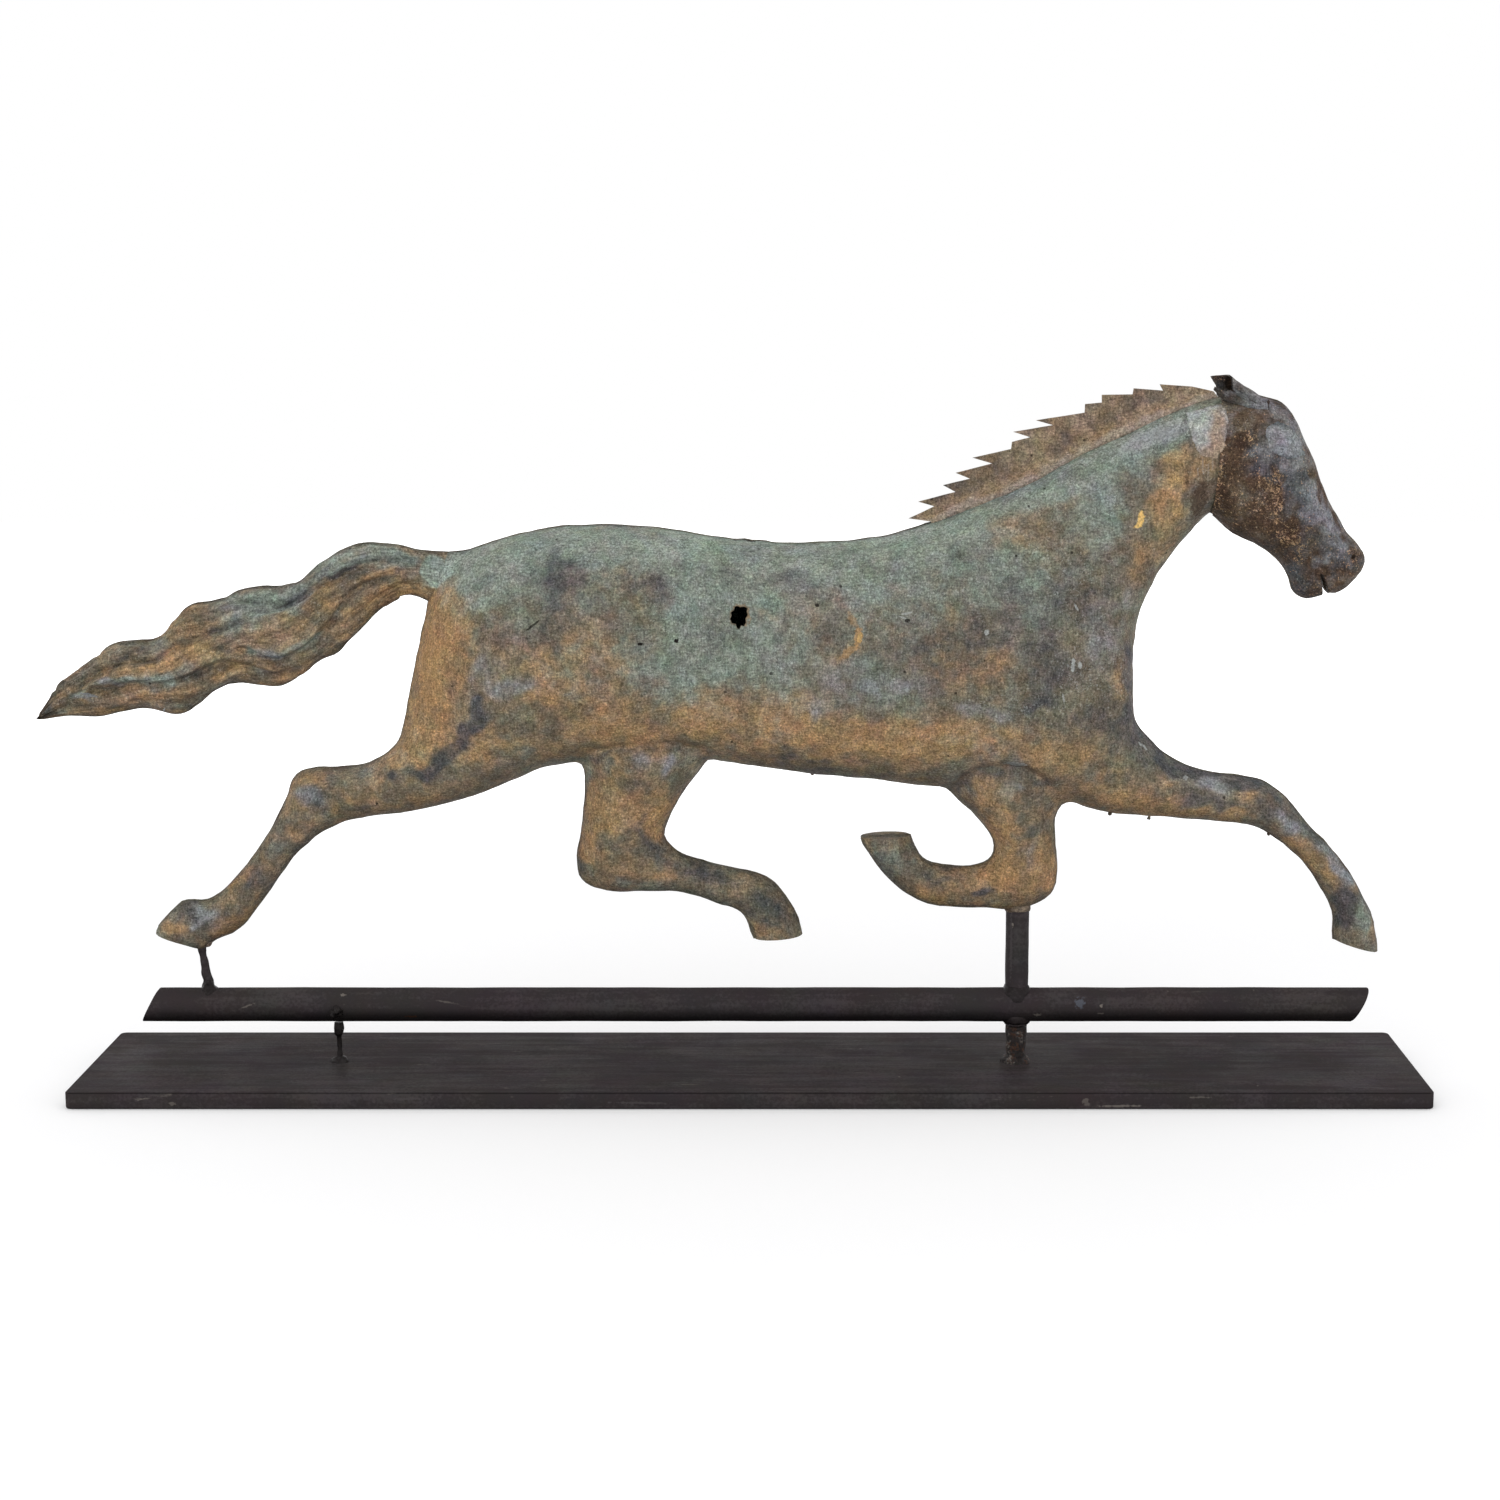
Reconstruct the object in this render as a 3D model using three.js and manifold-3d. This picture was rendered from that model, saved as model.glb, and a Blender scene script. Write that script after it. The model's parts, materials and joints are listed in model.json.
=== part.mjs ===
// Horse weathervane on its stand: a swell-bodied copper horse over a direction rod, which turns on a spindle.
// Lengths are in millimetres. +Z is up, +X is the way the horse runs, and its right side faces -Y.
// The origin is the middle of the base plate's underside.

import * as THREE from "three";
import { mergeVertices } from "three/addons/utils/BufferGeometryUtils.js";
import Module from "manifold-3d";

const wasm = await Module();
wasm.setup();

// Base plate
const BASE_LENGTH = 762;
const BASE_WIDTH = 127;
const BASE_THICKNESS = 9.5;
const BASE_CORNER_RADIUS = 5;
const BASE_CHAMFER = 0.8;

// Spindle and what turns on it
const SPINDLE_OFFSET = 152.5; // from the middle of the plate to the turning axis
const SPINDLE_DIAMETER = 10;
const SPINDLE_NECK_DIAMETER = 8;
const SPINDLE_ENGAGEMENT = 105; // length of the turned-down neck inside the socket
const PIVOT_BALL_DIAMETER = 7;
const PIVOT_CUP_DEPTH = 2;
const PIVOT_CAP_LENGTH = 9;
const BUSH_LENGTH = 14;
const TURNING_CLEARANCE = 0.35;

// Direction rod, post and props
const ROD_DIAMETER = 19.5;
const ROD_WALL = 2;
const ROD_HEIGHT = 24.2; // clear space between the plate and the rod
const ROD_SLANT_DEGREES = 27;
const ROD_TAIL_OVERHANG = 34; // past the foot of the hoof prop
const ROD_HOOF_SETBACK = 8; // from the reaching hoof's tip back to the rod's end
const POST_DIAMETER = 13.4;
const POST_WALL = 1.2;
const POST_RISE = 48; // from the rod's top up to the knee
const POST_REACH = 118; // from the knee's underside up into the body
const POST_TAIL = 1.6; // below the rod
const HOOF_PROP_DIAMETER = 5;
const HOOF_PROP_LEAN = 4.4; // how far its top leans towards the tail
const STEADY_PEG_DIAMETER = 3.2;
const STEADY_PEG_PLACE_SHARE = 0.784; // of the way from the spindle to the rod's tail end
const STEADY_TACK_RADIUS = 3.2;
const STEADY_TACK_DEGREES = 12; // below level, on the rod's right side

// Weld and solder beads
const SPINDLE_BEAD = { spread: 6.2, rise: 4 };
const POST_BEAD = { spread: 3, rise: 3 };
const POST_UNDER_BEAD = { spread: 2.4, rise: 1.4 };
const KNEE_BEAD = { spread: 2.2, rise: 3.6 };
const PROP_BEAD = { spread: 1.8, rise: 6 };
const PEG_BEAD = { spread: 1.4, rise: 2.2 };
const BEAD_SHOULDER_SHARES = [0.72, 0.45]; // of a bead's spread and rise
const BEAD_CROWN_SHARES = [0.3, 0.85];
const HOOF_SOLDER = { length: 14, width: 9, height: 5.5 };

// Copper horse
const HORSE_LENGTH = 763; // from the tip of the tail to the tip of the reaching hoof
const BODY_HALF_WIDTH = 40;
const HEAD_HALF_WIDTH = 22;
const THIGH_HALF_WIDTH = 27;
const CANNON_HALF_WIDTH = 9.5;
const TAIL_HALF_WIDTH = 15;
const COPPER_WALL = 0.9;
const MANE_THICKNESS = 1;
const MANE_SEAT = 4; // how deep the mane sits in the crest seam
const PATCH_THICKNESS = 0.8;
const EAR_LENGTH = 31;
const EAR_RADIUS = 6;
const EAR_SPACING = 17; // between the middles of the two ears
const FLANK_HOLE_REACH = 36; // how far the copper there stands out from the seam plane
const NECK_PATCH_REACH = 19;
const FOREHEAD_PATCH_REACH = 15;
const FIT_GAP = 0.3; // between pieces that are soldered or rest on each other
const CUT_OVERRUN = 5;

// Facets
const BODY_SIDES = 18;
const LEG_SIDES = 10;
const ROUND_SIDES = 24;
const SLIM_SIDES = 12;

// Outlines are read in picture pixels and lie in the plane of the seam. The picture looks down on the
// vane a little, so a pixel is worth slightly more near the feet than near the ears.
const VIEW_FOCAL_PIXELS = 2695;
const VIEW_CENTRE_PIXEL = [816, 750];
const VIEW_PITCH_DEGREES = 9.4;
const TAIL_TIP_PIXEL = [36.3, 719.4];
const REACHING_TIP_PIXEL = [1375.2, 949.1];
const KNEE_PIXEL = [1018, 906.5];

// Each row of an edge table is one cross-section: the two outline points that it joins, as x, y, x, y.
// The half width of the same section follows in the table of shares, in the same order.

const bodyEdgePixels = [
  [440, 552.5, 400, 734],
  [451, 551.5, 413, 748],
  [470, 550, 440, 763],
  [505, 538, 475, 780],
  [545, 528, 510, 781],
  [590, 524.5, 548, 766],
  [640, 526, 620, 758],
  [700, 534, 690, 757],
  [760, 541.5, 756, 764.5],
  [820, 542.7, 818, 773.5],
  [880, 537, 885, 779],
  [920, 526, 940, 786.5],
  [945, 517, 1000, 790],
  [968, 508, 1052, 799],
  [992, 498, 1092, 799],
  [1016, 488, 1122, 778],
  [1040, 476.5, 1134, 742],
  [1064, 463, 1133, 696],
  [1090, 448.5, 1131.5, 645],
  [1118, 436, 1140, 606],
  [1148, 422, 1158, 571],
  [1182, 407, 1183, 538],
  [1218, 397, 1209, 512],
];
const bodyWidthShares = [
  0.1, 0.42, 0.66, 0.85, 0.95, 1, 0.99, 0.95, 0.94, 0.97, 1, 1, 0.99, 0.96, 0.91, 0.85, 0.78, 0.71, 0.65,
  0.6, 0.56, 0.53, 0.52,
];

const headEdgePixels = [
  [1218.5, 396.9, 1209.5, 512.4],
  [1245, 393.5, 1228, 528],
  [1268, 398, 1246, 538],
  [1288, 409, 1260, 545],
  [1300, 432, 1272, 554],
  [1312, 458, 1283, 566],
  [1321, 484, 1289, 578],
  [1332, 508, 1291, 587],
  [1346, 531, 1296, 593],
  [1358, 546, 1306, 597.5],
  [1364, 558, 1318, 595.5],
  [1360, 570, 1327, 593],
  [1350, 582, 1337, 592.6],
];
const headWidthShares = [0.95, 1, 1, 1, 0.97, 0.9, 0.8, 0.7, 0.64, 0.6, 0.55, 0.42, 0.2];

const tailEdgePixels = [
  [450, 552, 440, 606],
  [421, 550.5, 413, 595],
  [399, 545.5, 393, 600],
  [376, 543, 374, 614],
  [357, 544, 354, 633],
  [337, 552, 337, 650],
  [317, 566, 319, 660],
  [300, 580, 300, 674],
  [281, 586, 281, 685],
  [261, 586.5, 261, 685],
  [243, 590, 239, 682],
  [225, 599.6, 219, 687],
  [206, 602, 202, 699],
  [191, 605, 188, 711],
  [178, 617, 175, 714],
  [166, 632, 159, 710],
  [152, 639, 143, 707],
  [124, 641, 122, 711],
  [107, 647, 101, 715.5],
  [90, 663, 80, 715],
  [74, 673, 66, 715.5],
  [60, 685, 53, 717.5],
  [45, 706, 42, 719],
  [37, 717.5, 36.3, 719.4],
];
const tailWidthShares = [
  0.6, 0.62, 0.66, 0.74, 0.84, 0.92, 0.97, 1, 1, 1, 1, 1, 1, 1, 0.98, 0.94, 0.88, 0.8, 0.72, 0.6, 0.48,
  0.36, 0.2, 0.08,
];

const drivingLegEdgePixels = [
  [420, 690, 530, 770],
  [404, 728, 505, 783],
  [399, 741, 478, 794],
  [386, 753, 450, 803],
  [366, 765, 416, 811],
  [341, 766, 381, 814],
  [318, 767, 357, 817],
  [302, 771, 337, 824],
  [294, 780, 319, 834],
  [287, 797, 303, 846],
  [273, 825.5, 292, 856],
  [262, 844, 281, 871],
  [250, 862, 269, 889],
  [236, 876.5, 258, 905.5],
  [222, 891, 247, 920.5],
  [207, 900, 234, 931.5],
  [194, 898.5, 216, 939],
  [182, 900, 200, 944],
  [169, 915, 181, 939.5],
  [159, 930, 165, 933.5],
];
const drivingLegWidthShares = [
  1, 0.9, 0.75, 0.6, 0.45, 0.34, 0.26, 0.2, 0.17, 0.13, 0.06, 0.03, 0.02, 0.05, 0.1, 0.04, 0.08, 0.12, 0.06,
  -0.2,
];

const tuckedLegEdgePixels = [
  [582, 735, 722, 735],
  [584, 766, 706, 761],
  [586, 790, 686, 783],
  [584, 812, 673, 806],
  [581, 835, 665, 826],
  [577, 856, 664, 835],
  [580, 875, 667, 842],
  [594, 885.8, 674, 848.5],
  [615, 889.5, 682, 853],
  [641, 890.2, 693, 857],
  [668, 891, 706, 861],
  [692, 894.3, 721, 864.5],
  [716, 901, 737, 868],
  [735, 906.6, 754, 872],
  [745, 914, 771, 880],
  [750, 926, 785, 895],
  [753, 934, 796, 914],
  [755, 937, 802, 933.5],
];
const tuckedLegWidthShares = [
  1, 0.82, 0.62, 0.48, 0.36, 0.28, 0.22, 0.18, 0.1, 0.05, 0.02, 0, 0.02, 0.08, 0.02, 0.06, 0.12, 0.14,
];

const foldedLegEdgePixels = [
  [952, 762, 1068, 766],
  [950, 790, 1062, 800],
  [973, 811, 1055, 817],
  [986, 826, 1055, 838],
  [993.5, 838, 1056.5, 857],
  [995, 848, 1057, 877],
  [992, 857, 1053, 890],
  [985, 862, 1041, 900],
  [973, 865, 1022, 906.3],
  [958, 865.7, 990, 907],
  [945, 865, 960, 906],
  [934, 863, 934, 904.5],
  [923, 858.5, 911, 896],
  [916, 850.5, 893, 881],
  [911, 840, 878, 864],
  [906, 835, 868, 846],
  [902.9, 833.9, 864.3, 836],
];
const foldedLegWidthShares = [
  0.85, 0.66, 0.5, 0.4, 0.34, 0.3, 0.28, 0.24, 0.17, 0.1, 0.04, 0.02, 0.06, 0.03, 0.05, 0.1, 0.12,
];

const reachingLegEdgePixels = [
  [1126, 712, 1050, 790],
  [1150, 738, 1086, 807],
  [1160, 750, 1112, 812],
  [1178, 761, 1141, 816],
  [1201, 769.6, 1173, 818],
  [1224, 773, 1205, 819.5],
  [1247, 776.5, 1234, 822],
  [1262, 781, 1253, 825],
  [1275, 790, 1265, 829.5],
  [1289, 804.5, 1276, 837],
  [1304, 821.7, 1288, 846.5],
  [1322.5, 840, 1302, 861],
  [1341, 860.7, 1315, 878.5],
  [1354.5, 881.4, 1325.5, 896.5],
  [1366, 904.3, 1332, 910.5],
  [1372, 920.5, 1332.8, 923],
  [1374, 936.5, 1333, 937.5],
  [1375.2, 949.1, 1340, 941.5],
];
const reachingLegWidthShares = [
  0.8, 0.7, 0.62, 0.52, 0.42, 0.34, 0.28, 0.24, 0.2, 0.14, 0.06, 0.02, 0.02, 0.08, 0.02, 0.06, 0.12, 0.14,
];

// The saw-tooth edge of the mane from its lowest tooth up to the poll, and the crest line it stands on.
const maneEdgePixels = [
  [931, 521],
  [908.7, 518.4],
  [934.5, 506.4],
  [918.3, 501.6],
  [955.6, 492],
  [943.1, 485.3],
  [969.9, 478.6],
  [955.6, 472.9],
  [991.9, 463.3],
  [972.4, 457.6],
  [1011.1, 449],
  [1012, 441.9],
  [1029.8, 437.1],
  [1013, 431.7],
  [1052.8, 425.1],
  [1035.9, 420.3],
  [1084.7, 412.6],
  [1085.1, 404],
  [1101.9, 402.5],
  [1101.9, 394.8],
  [1132.9, 394.4],
  [1133.9, 388.3],
  [1163.2, 390.6],
  [1159.9, 384.3],
  [1191.8, 386.4],
  [1212.9, 391.1],
];
const crestPixels = [
  [1214, 398.5],
  [1178, 408.5],
  [1138, 427],
  [1096, 445.5],
  [1045, 474],
  [1010, 490.5],
  [975, 505],
  [938, 520.5],
];

const maneSlotEndPixels = [
  [1219, 396],
  [926, 525],
];

const neckPatchPixels = [
  [1185.1, 413.1],
  [1214, 404],
  [1215, 436.1],
  [1213, 460],
  [1199.5, 466.7],
  [1193.8, 445.7],
  [1189.9, 430.4],
];
const foreheadPatchPixels = [
  [1266.5, 424.6],
  [1277.9, 420.8],
  [1294, 428],
  [1304, 457.1],
  [1283.7, 461],
  [1268.4, 445.7],
];
const flankHolePixels = [
  [734.5, 607.5],
  [747, 609.5],
  [747, 614],
  [744.5, 625],
  [738.5, 629.5],
  [733, 623.5],
  [730.3, 619],
];
const EAR_BASE_PIXEL = [1270, 414];
const EAR_MOUTH_PIXEL = [1222, 382];
// Ear outline from its foot to its mouth, as shares of EAR_RADIUS and EAR_LENGTH
const earProfileShares = [
  [0, 0],
  [0.55, 0],
  [0.8, 0.14],
  [1, 0.45],
  [0.98, 0.75],
  [0.85, 1],
];
const earFloorShare = 0.2;
const HOOF_SOLDER_PIXEL = [199, 943.5];
const PROP_TOP_PIXEL = [201, 944.2];

// Sizes that follow from the ones above
const rodRadius = ROD_DIAMETER / 2;
const rodAxisZ = BASE_THICKNESS + ROD_HEIGHT + rodRadius;
const rodTopZ = rodAxisZ + rodRadius;
const kneeZ = rodTopZ + POST_RISE;
const postRadius = POST_DIAMETER / 2;
const postBottomZ = BASE_THICKNESS + ROD_HEIGHT - POST_TAIL;
const postTopZ = kneeZ + POST_REACH;
const spindleNeckRadius = SPINDLE_NECK_DIAMETER / 2;
const spindleShoulderZ = postBottomZ - TURNING_CLEARANCE;
const spindleTopZ = spindleShoulderZ + SPINDLE_ENGAGEMENT;

// Solids from geometries, and back

function outward(vertProperties, triVerts) {
  const solid = new wasm.Manifold(new wasm.Mesh({ numProp: 3, vertProperties, triVerts }));
  return solid.volume() > 0 ? solid : null;
}

function solidOf(geometry) {
  const bare = new THREE.BufferGeometry().setAttribute("position", geometry.getAttribute("position"));
  if (geometry.index) bare.setIndex(geometry.index);
  const merged = mergeVertices(bare);
  const corners = merged.index.array;
  const faces = [];
  const turnedFaces = [];
  for (let i = 0; i < corners.length; i += 3) {
    const [a, b, c] = corners.slice(i, i + 3);
    if (a === b || b === c || c === a) continue;
    faces.push(a, b, c);
    turnedFaces.push(a, c, b);
  }
  const places = merged.getAttribute("position").array;
  return outward(places, new Uint32Array(faces)) ?? outward(places, new Uint32Array(turnedFaces));
}

function geometryOf(solid) {
  const mesh = solid.getMesh();
  const geometry = new THREE.BufferGeometry();
  geometry.setAttribute("position", new THREE.BufferAttribute(mesh.vertProperties, mesh.numProp));
  geometry.setIndex(new THREE.BufferAttribute(mesh.triVerts, 1));
  geometry.computeVertexNormals();
  return geometry;
}

// The seam plane

function viewShare([pixelX, pixelY]) {
  const pitch = THREE.MathUtils.degToRad(VIEW_PITCH_DEGREES);
  const across = (pixelX - VIEW_CENTRE_PIXEL[0]) / VIEW_FOCAL_PIXELS;
  const up = (VIEW_CENTRE_PIXEL[1] - pixelY) / VIEW_FOCAL_PIXELS;
  const depth = 1 / (Math.cos(pitch) + up * Math.sin(pitch));
  return { x: depth * across, z: depth * (up * Math.cos(pitch) - Math.sin(pitch)) };
}

const kneeShare = viewShare(KNEE_PIXEL);
const viewScale = HORSE_LENGTH / (viewShare(REACHING_TIP_PIXEL).x - viewShare(TAIL_TIP_PIXEL).x);

function seamPoint(pixel) {
  const share = viewShare(pixel);
  const x = SPINDLE_OFFSET + viewScale * (share.x - kneeShare.x);
  const z = kneeZ + viewScale * (share.z - kneeShare.z);
  return new THREE.Vector3(x, 0, z);
}

// A point that is seen on the right side, which stands out from the seam plane by `reach`
function sidePoint(pixel, reach) {
  const share = viewShare(pixel);
  return seamPoint(pixel).sub(new THREE.Vector3(share.x, 0, share.z).multiplyScalar(reach));
}

// Swelling forms: a row of rounded cross-sections that stand across the seam plane

function sectionsOf(edgePixels, halfWidths) {
  return edgePixels.map(([x1, y1, x2, y2], i) => {
    const a = seamPoint([x1, y1]);
    const b = seamPoint([x2, y2]);
    return {
      middle: a.clone().add(b).multiplyScalar(0.5),
      along: a.clone().sub(b).normalize(),
      halfLength: a.distanceTo(b) / 2,
      halfWidth: halfWidths[i],
    };
  });
}

function sectionRing({ middle, along, halfLength, halfWidth }, sides, roundness) {
  return Array.from({ length: sides }, (_, i) => {
    const angle = (2 * Math.PI * i) / sides;
    const across = Math.cos(angle);
    const out = Math.sin(angle);
    const lift = Math.sign(across) * Math.abs(across) ** (2 / roundness) * halfLength;
    const bulge = Math.sign(out) * Math.abs(out) ** (2 / roundness) * halfWidth;
    return middle.clone().addScaledVector(along, lift).setY(bulge);
  });
}

// The rings come first, then one point in the middle of each end
function ringFaces(ringCount, sides) {
  const last = ringCount - 1;
  const endPoint = ringCount * sides;
  const faces = [];
  for (let i = 0; i < sides; i += 1) {
    const j = (i + 1) % sides;
    for (let k = 0; k < last; k += 1) {
      const near = k * sides;
      const far = near + sides;
      faces.push(near + i, far + i, far + j, near + i, far + j, near + j);
    }
    faces.push(endPoint, i, j);
    faces.push(endPoint + 1, last * sides + j, last * sides + i);
  }
  return faces;
}

// `grow` moves the whole surface out, or in where it is negative. `push` then moves each end further out.
function swelling({ edgePixels, halfWidths, sides, roundness }, grow, push = [0, 0]) {
  const sections = sectionsOf(edgePixels, halfWidths).filter(
    ({ halfLength, halfWidth }) => Math.min(halfLength, halfWidth) + 2 * grow > 0,
  );
  const last = sections.length - 1;
  const middles = [sections[0].middle, sections[last].middle];
  const rings = sections.map((section) => sectionRing(section, sides, roundness));
  const geometry = new THREE.BufferGeometry().setFromPoints([...rings.flat(), ...middles]);
  geometry.setIndex(ringFaces(rings.length, sides));
  geometry.computeVertexNormals();

  const places = geometry.getAttribute("position");
  const normals = geometry.getAttribute("normal");
  const outwards = Math.sign(swept(sections));
  for (let i = 0; i < places.count; i += 1) {
    const normal = new THREE.Vector3().fromBufferAttribute(normals, i);
    const place = new THREE.Vector3().fromBufferAttribute(places, i);
    place.addScaledVector(normal, outwards * grow);
    places.setXYZ(i, ...place.toArray());
  }
  pushEnd(places, sections[0].middle, sections[1].middle, push[0], 0, sides);
  pushEnd(places, sections[last].middle, sections[last - 1].middle, push[1], last, sides);
  return solidOf(geometry);
}

// Positive where the rings' faces look out, which depends on the way the sections follow each other
function swept(sections) {
  return sections.slice(1).reduce((sum, { middle, along, halfLength, halfWidth }, i) => {
    const step = middle.clone().sub(sections[i].middle);
    return sum + halfLength * halfWidth * step.dot(new THREE.Vector3(along.z, 0, -along.x));
  }, 0);
}

function pushEnd(places, middle, nextMiddle, distance, ringNumber, sides) {
  const away = middle.clone().sub(nextMiddle).normalize().multiplyScalar(distance);
  const members = Array.from({ length: sides }, (_, i) => ringNumber * sides + i);
  members.push(places.count - (ringNumber > 0 ? 1 : 2));
  for (const i of members) {
    const place = new THREE.Vector3().fromBufferAttribute(places, i).add(away);
    places.setXYZ(i, ...place.toArray());
  }
}

function boxSolid(low, high) {
  const size = high.clone().sub(low);
  const geometry = new THREE.BoxGeometry(size.x, size.y, size.z);
  geometry.translate(...low.clone().add(high).multiplyScalar(0.5).toArray());
  return solidOf(geometry);
}

const farSide = 2 * HORSE_LENGTH;
const rightHalf = boxSolid(
  new THREE.Vector3(-farSide, -farSide, -farSide),
  new THREE.Vector3(farSide, 0, farSide),
);
const leftHalf = boxSolid(
  new THREE.Vector3(-farSide, 0, -farSide),
  new THREE.Vector3(farSide, farSide, farSide),
);

// A flat outline in the seam plane, thickened from one Y to another
function sheetOf(points, fromY, toY) {
  const shape = new THREE.Shape(points.map((point) => new THREE.Vector2(point.x, point.z)));
  const geometry = new THREE.ExtrudeGeometry(shape, { depth: toY - fromY, bevelEnabled: false });
  geometry.rotateX(Math.PI / 2);
  return solidOf(geometry.translate(0, toY, 0));
}

// Round pieces stand on the origin's axis until they are moved

function roundRod(radius, fromZ, toZ, sides = ROUND_SIDES) {
  const geometry = new THREE.CylinderGeometry(radius, radius, toZ - fromZ, sides);
  geometry.rotateX(Math.PI / 2);
  geometry.translate(0, 0, (fromZ + toZ) / 2);
  return geometry;
}

function turned(profile, sides = ROUND_SIDES) {
  const points = profile.map(([radius, z]) => new THREE.Vector2(radius, z));
  const geometry = new THREE.LatheGeometry(points, sides);
  geometry.rotateX(Math.PI / 2);
  return geometry;
}

function ring(innerRadius, outerRadius, fromZ, toZ, sides = ROUND_SIDES) {
  const corners = [
    [innerRadius, fromZ],
    [outerRadius, fromZ],
    [outerRadius, toZ],
    [innerRadius, toZ],
  ];
  return turned([...corners, corners[0]], sides);
}

// A bead round a rod: widest at height 0 and drawn in towards the rod as it rises. Its skirt reaches
// below height 0 where it sits on a curved surface, which then trims it.
function bead(radius, { spread, rise }, skirt = 0, sides = ROUND_SIDES) {
  const inner = radius + FIT_GAP;
  const corners = [
    [inner, -skirt],
    [inner + spread, -skirt],
    [inner + spread, 0],
    [inner + spread * BEAD_SHOULDER_SHARES[0], rise * BEAD_SHOULDER_SHARES[1]],
    [inner + spread * BEAD_CROWN_SHARES[0], rise * BEAD_CROWN_SHARES[1]],
    [inner, rise],
  ];
  const profile = skirt > 0 ? corners : corners.slice(1);
  if (skirt === 0) profile.unshift([inner, 0]);
  return turned([...profile, profile[0]], sides);
}

function atSpindle(geometry, z = 0) {
  return solidOf(geometry.translate(SPINDLE_OFFSET, 0, z));
}

// Base plate
function makeBasePlate() {
  const shape = new THREE.Shape();
  const x = BASE_LENGTH / 2 - BASE_CORNER_RADIUS;
  const y = BASE_WIDTH / 2 - BASE_CORNER_RADIUS;
  const corners = [
    [x, y],
    [-x, y],
    [-x, -y],
    [x, -y],
  ];
  corners.forEach(([cornerX, cornerY], i) => {
    const start = (i * Math.PI) / 2;
    shape.absarc(cornerX, cornerY, BASE_CORNER_RADIUS, start, start + Math.PI / 2, false);
  });
  const geometry = new THREE.ExtrudeGeometry(shape, {
    depth: BASE_THICKNESS - 2 * BASE_CHAMFER,
    bevelThickness: BASE_CHAMFER,
    bevelSize: BASE_CHAMFER,
    bevelOffset: -BASE_CHAMFER,
    bevelSegments: 1,
    curveSegments: 4,
  });
  geometry.translate(0, 0, BASE_CHAMFER);
  return solidOf(geometry);
}

// Spindle, its ball and the peg that steadies the rod
const ballRadius = PIVOT_BALL_DIAMETER / 2;
const ballZ = spindleTopZ - PIVOT_CUP_DEPTH + FIT_GAP + ballRadius;

function makeBall(radius) {
  const geometry = new THREE.SphereGeometry(radius, ROUND_SIDES / 2, ROUND_SIDES / 4);
  return atSpindle(geometry.rotateX(Math.PI / 2), ballZ);
}

function makeSpindle() {
  const radius = SPINDLE_DIAMETER / 2;
  const profile = [
    [0, BASE_THICKNESS],
    [radius, BASE_THICKNESS],
    [radius, spindleShoulderZ],
    [spindleNeckRadius, spindleShoulderZ],
    [spindleNeckRadius, spindleTopZ],
    [0, spindleTopZ],
  ];
  return atSpindle(turned(profile)).subtract(makeBall(ballRadius + FIT_GAP));
}

function makeSpindleFootWeld() {
  return atSpindle(bead(SPINDLE_DIAMETER / 2, SPINDLE_BEAD), BASE_THICKNESS);
}

function makeSteadyPeg() {
  const geometry = roundRod(
    STEADY_PEG_DIAMETER / 2,
    BASE_THICKNESS,
    rodAxisZ - rodRadius - FIT_GAP,
    SLIM_SIDES,
  );
  return solidOf(geometry.translate(pegX, 0, 0));
}

function makeSteadyPegWeld() {
  const geometry = bead(STEADY_PEG_DIAMETER / 2, PEG_BEAD, 0, SLIM_SIDES);
  return solidOf(geometry.translate(pegX, 0, BASE_THICKNESS));
}

// Direction rod and the post that stands in it
const postBoreRadius = postRadius - POST_WALL;

function makePostCore(grow) {
  return atSpindle(roundRod(postRadius + grow, postBottomZ - CUT_OVERRUN, postTopZ + grow));
}

const propTop = seamPoint(PROP_TOP_PIXEL);
const propFoot = new THREE.Vector3(propTop.x + HOOF_PROP_LEAN, 0, rodTopZ);
const rodTailX = propFoot.x - ROD_TAIL_OVERHANG;
const rodHoofX = seamPoint(REACHING_TIP_PIXEL).x - ROD_HOOF_SETBACK;
const pegX = SPINDLE_OFFSET + STEADY_PEG_PLACE_SHARE * (rodTailX - SPINDLE_OFFSET);

// Both ends of the rod lean the same way, so the whole tube is sheared along its length.
function alongRod(geometry) {
  const slope = Math.tan(THREE.MathUtils.degToRad(ROD_SLANT_DEGREES));
  geometry.rotateY(Math.PI / 2);
  geometry.applyMatrix4(new THREE.Matrix4().makeShear(0, 0, 0, 0, slope, 0));
  return solidOf(geometry.translate(0, 0, rodAxisZ));
}

function makeDirectionRod() {
  const tube = alongRod(ring(rodRadius - ROD_WALL, rodRadius, rodTailX, rodHoofX));
  return tube.subtract(makePostCore(FIT_GAP));
}

function makeSocketTube() {
  return atSpindle(ring(postBoreRadius, postRadius, postBottomZ, postTopZ));
}

function makeSocketBush() {
  const inner = spindleNeckRadius + TURNING_CLEARANCE;
  return atSpindle(ring(inner, postBoreRadius - FIT_GAP, postBottomZ, postBottomZ + BUSH_LENGTH));
}

function makePivotCap() {
  const bottom = ballZ + ballRadius + FIT_GAP;
  return atSpindle(roundRod(postBoreRadius - FIT_GAP, bottom, bottom + PIVOT_CAP_LENGTH));
}

function makePostWeldTop() {
  return atSpindle(bead(postRadius, POST_BEAD, rodRadius), rodTopZ).subtract(rodCore);
}

function makePostWeldUnder() {
  const geometry = bead(postRadius, POST_UNDER_BEAD, rodRadius).rotateX(Math.PI);
  return atSpindle(geometry, rodAxisZ - rodRadius).subtract(rodCore);
}

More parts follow.
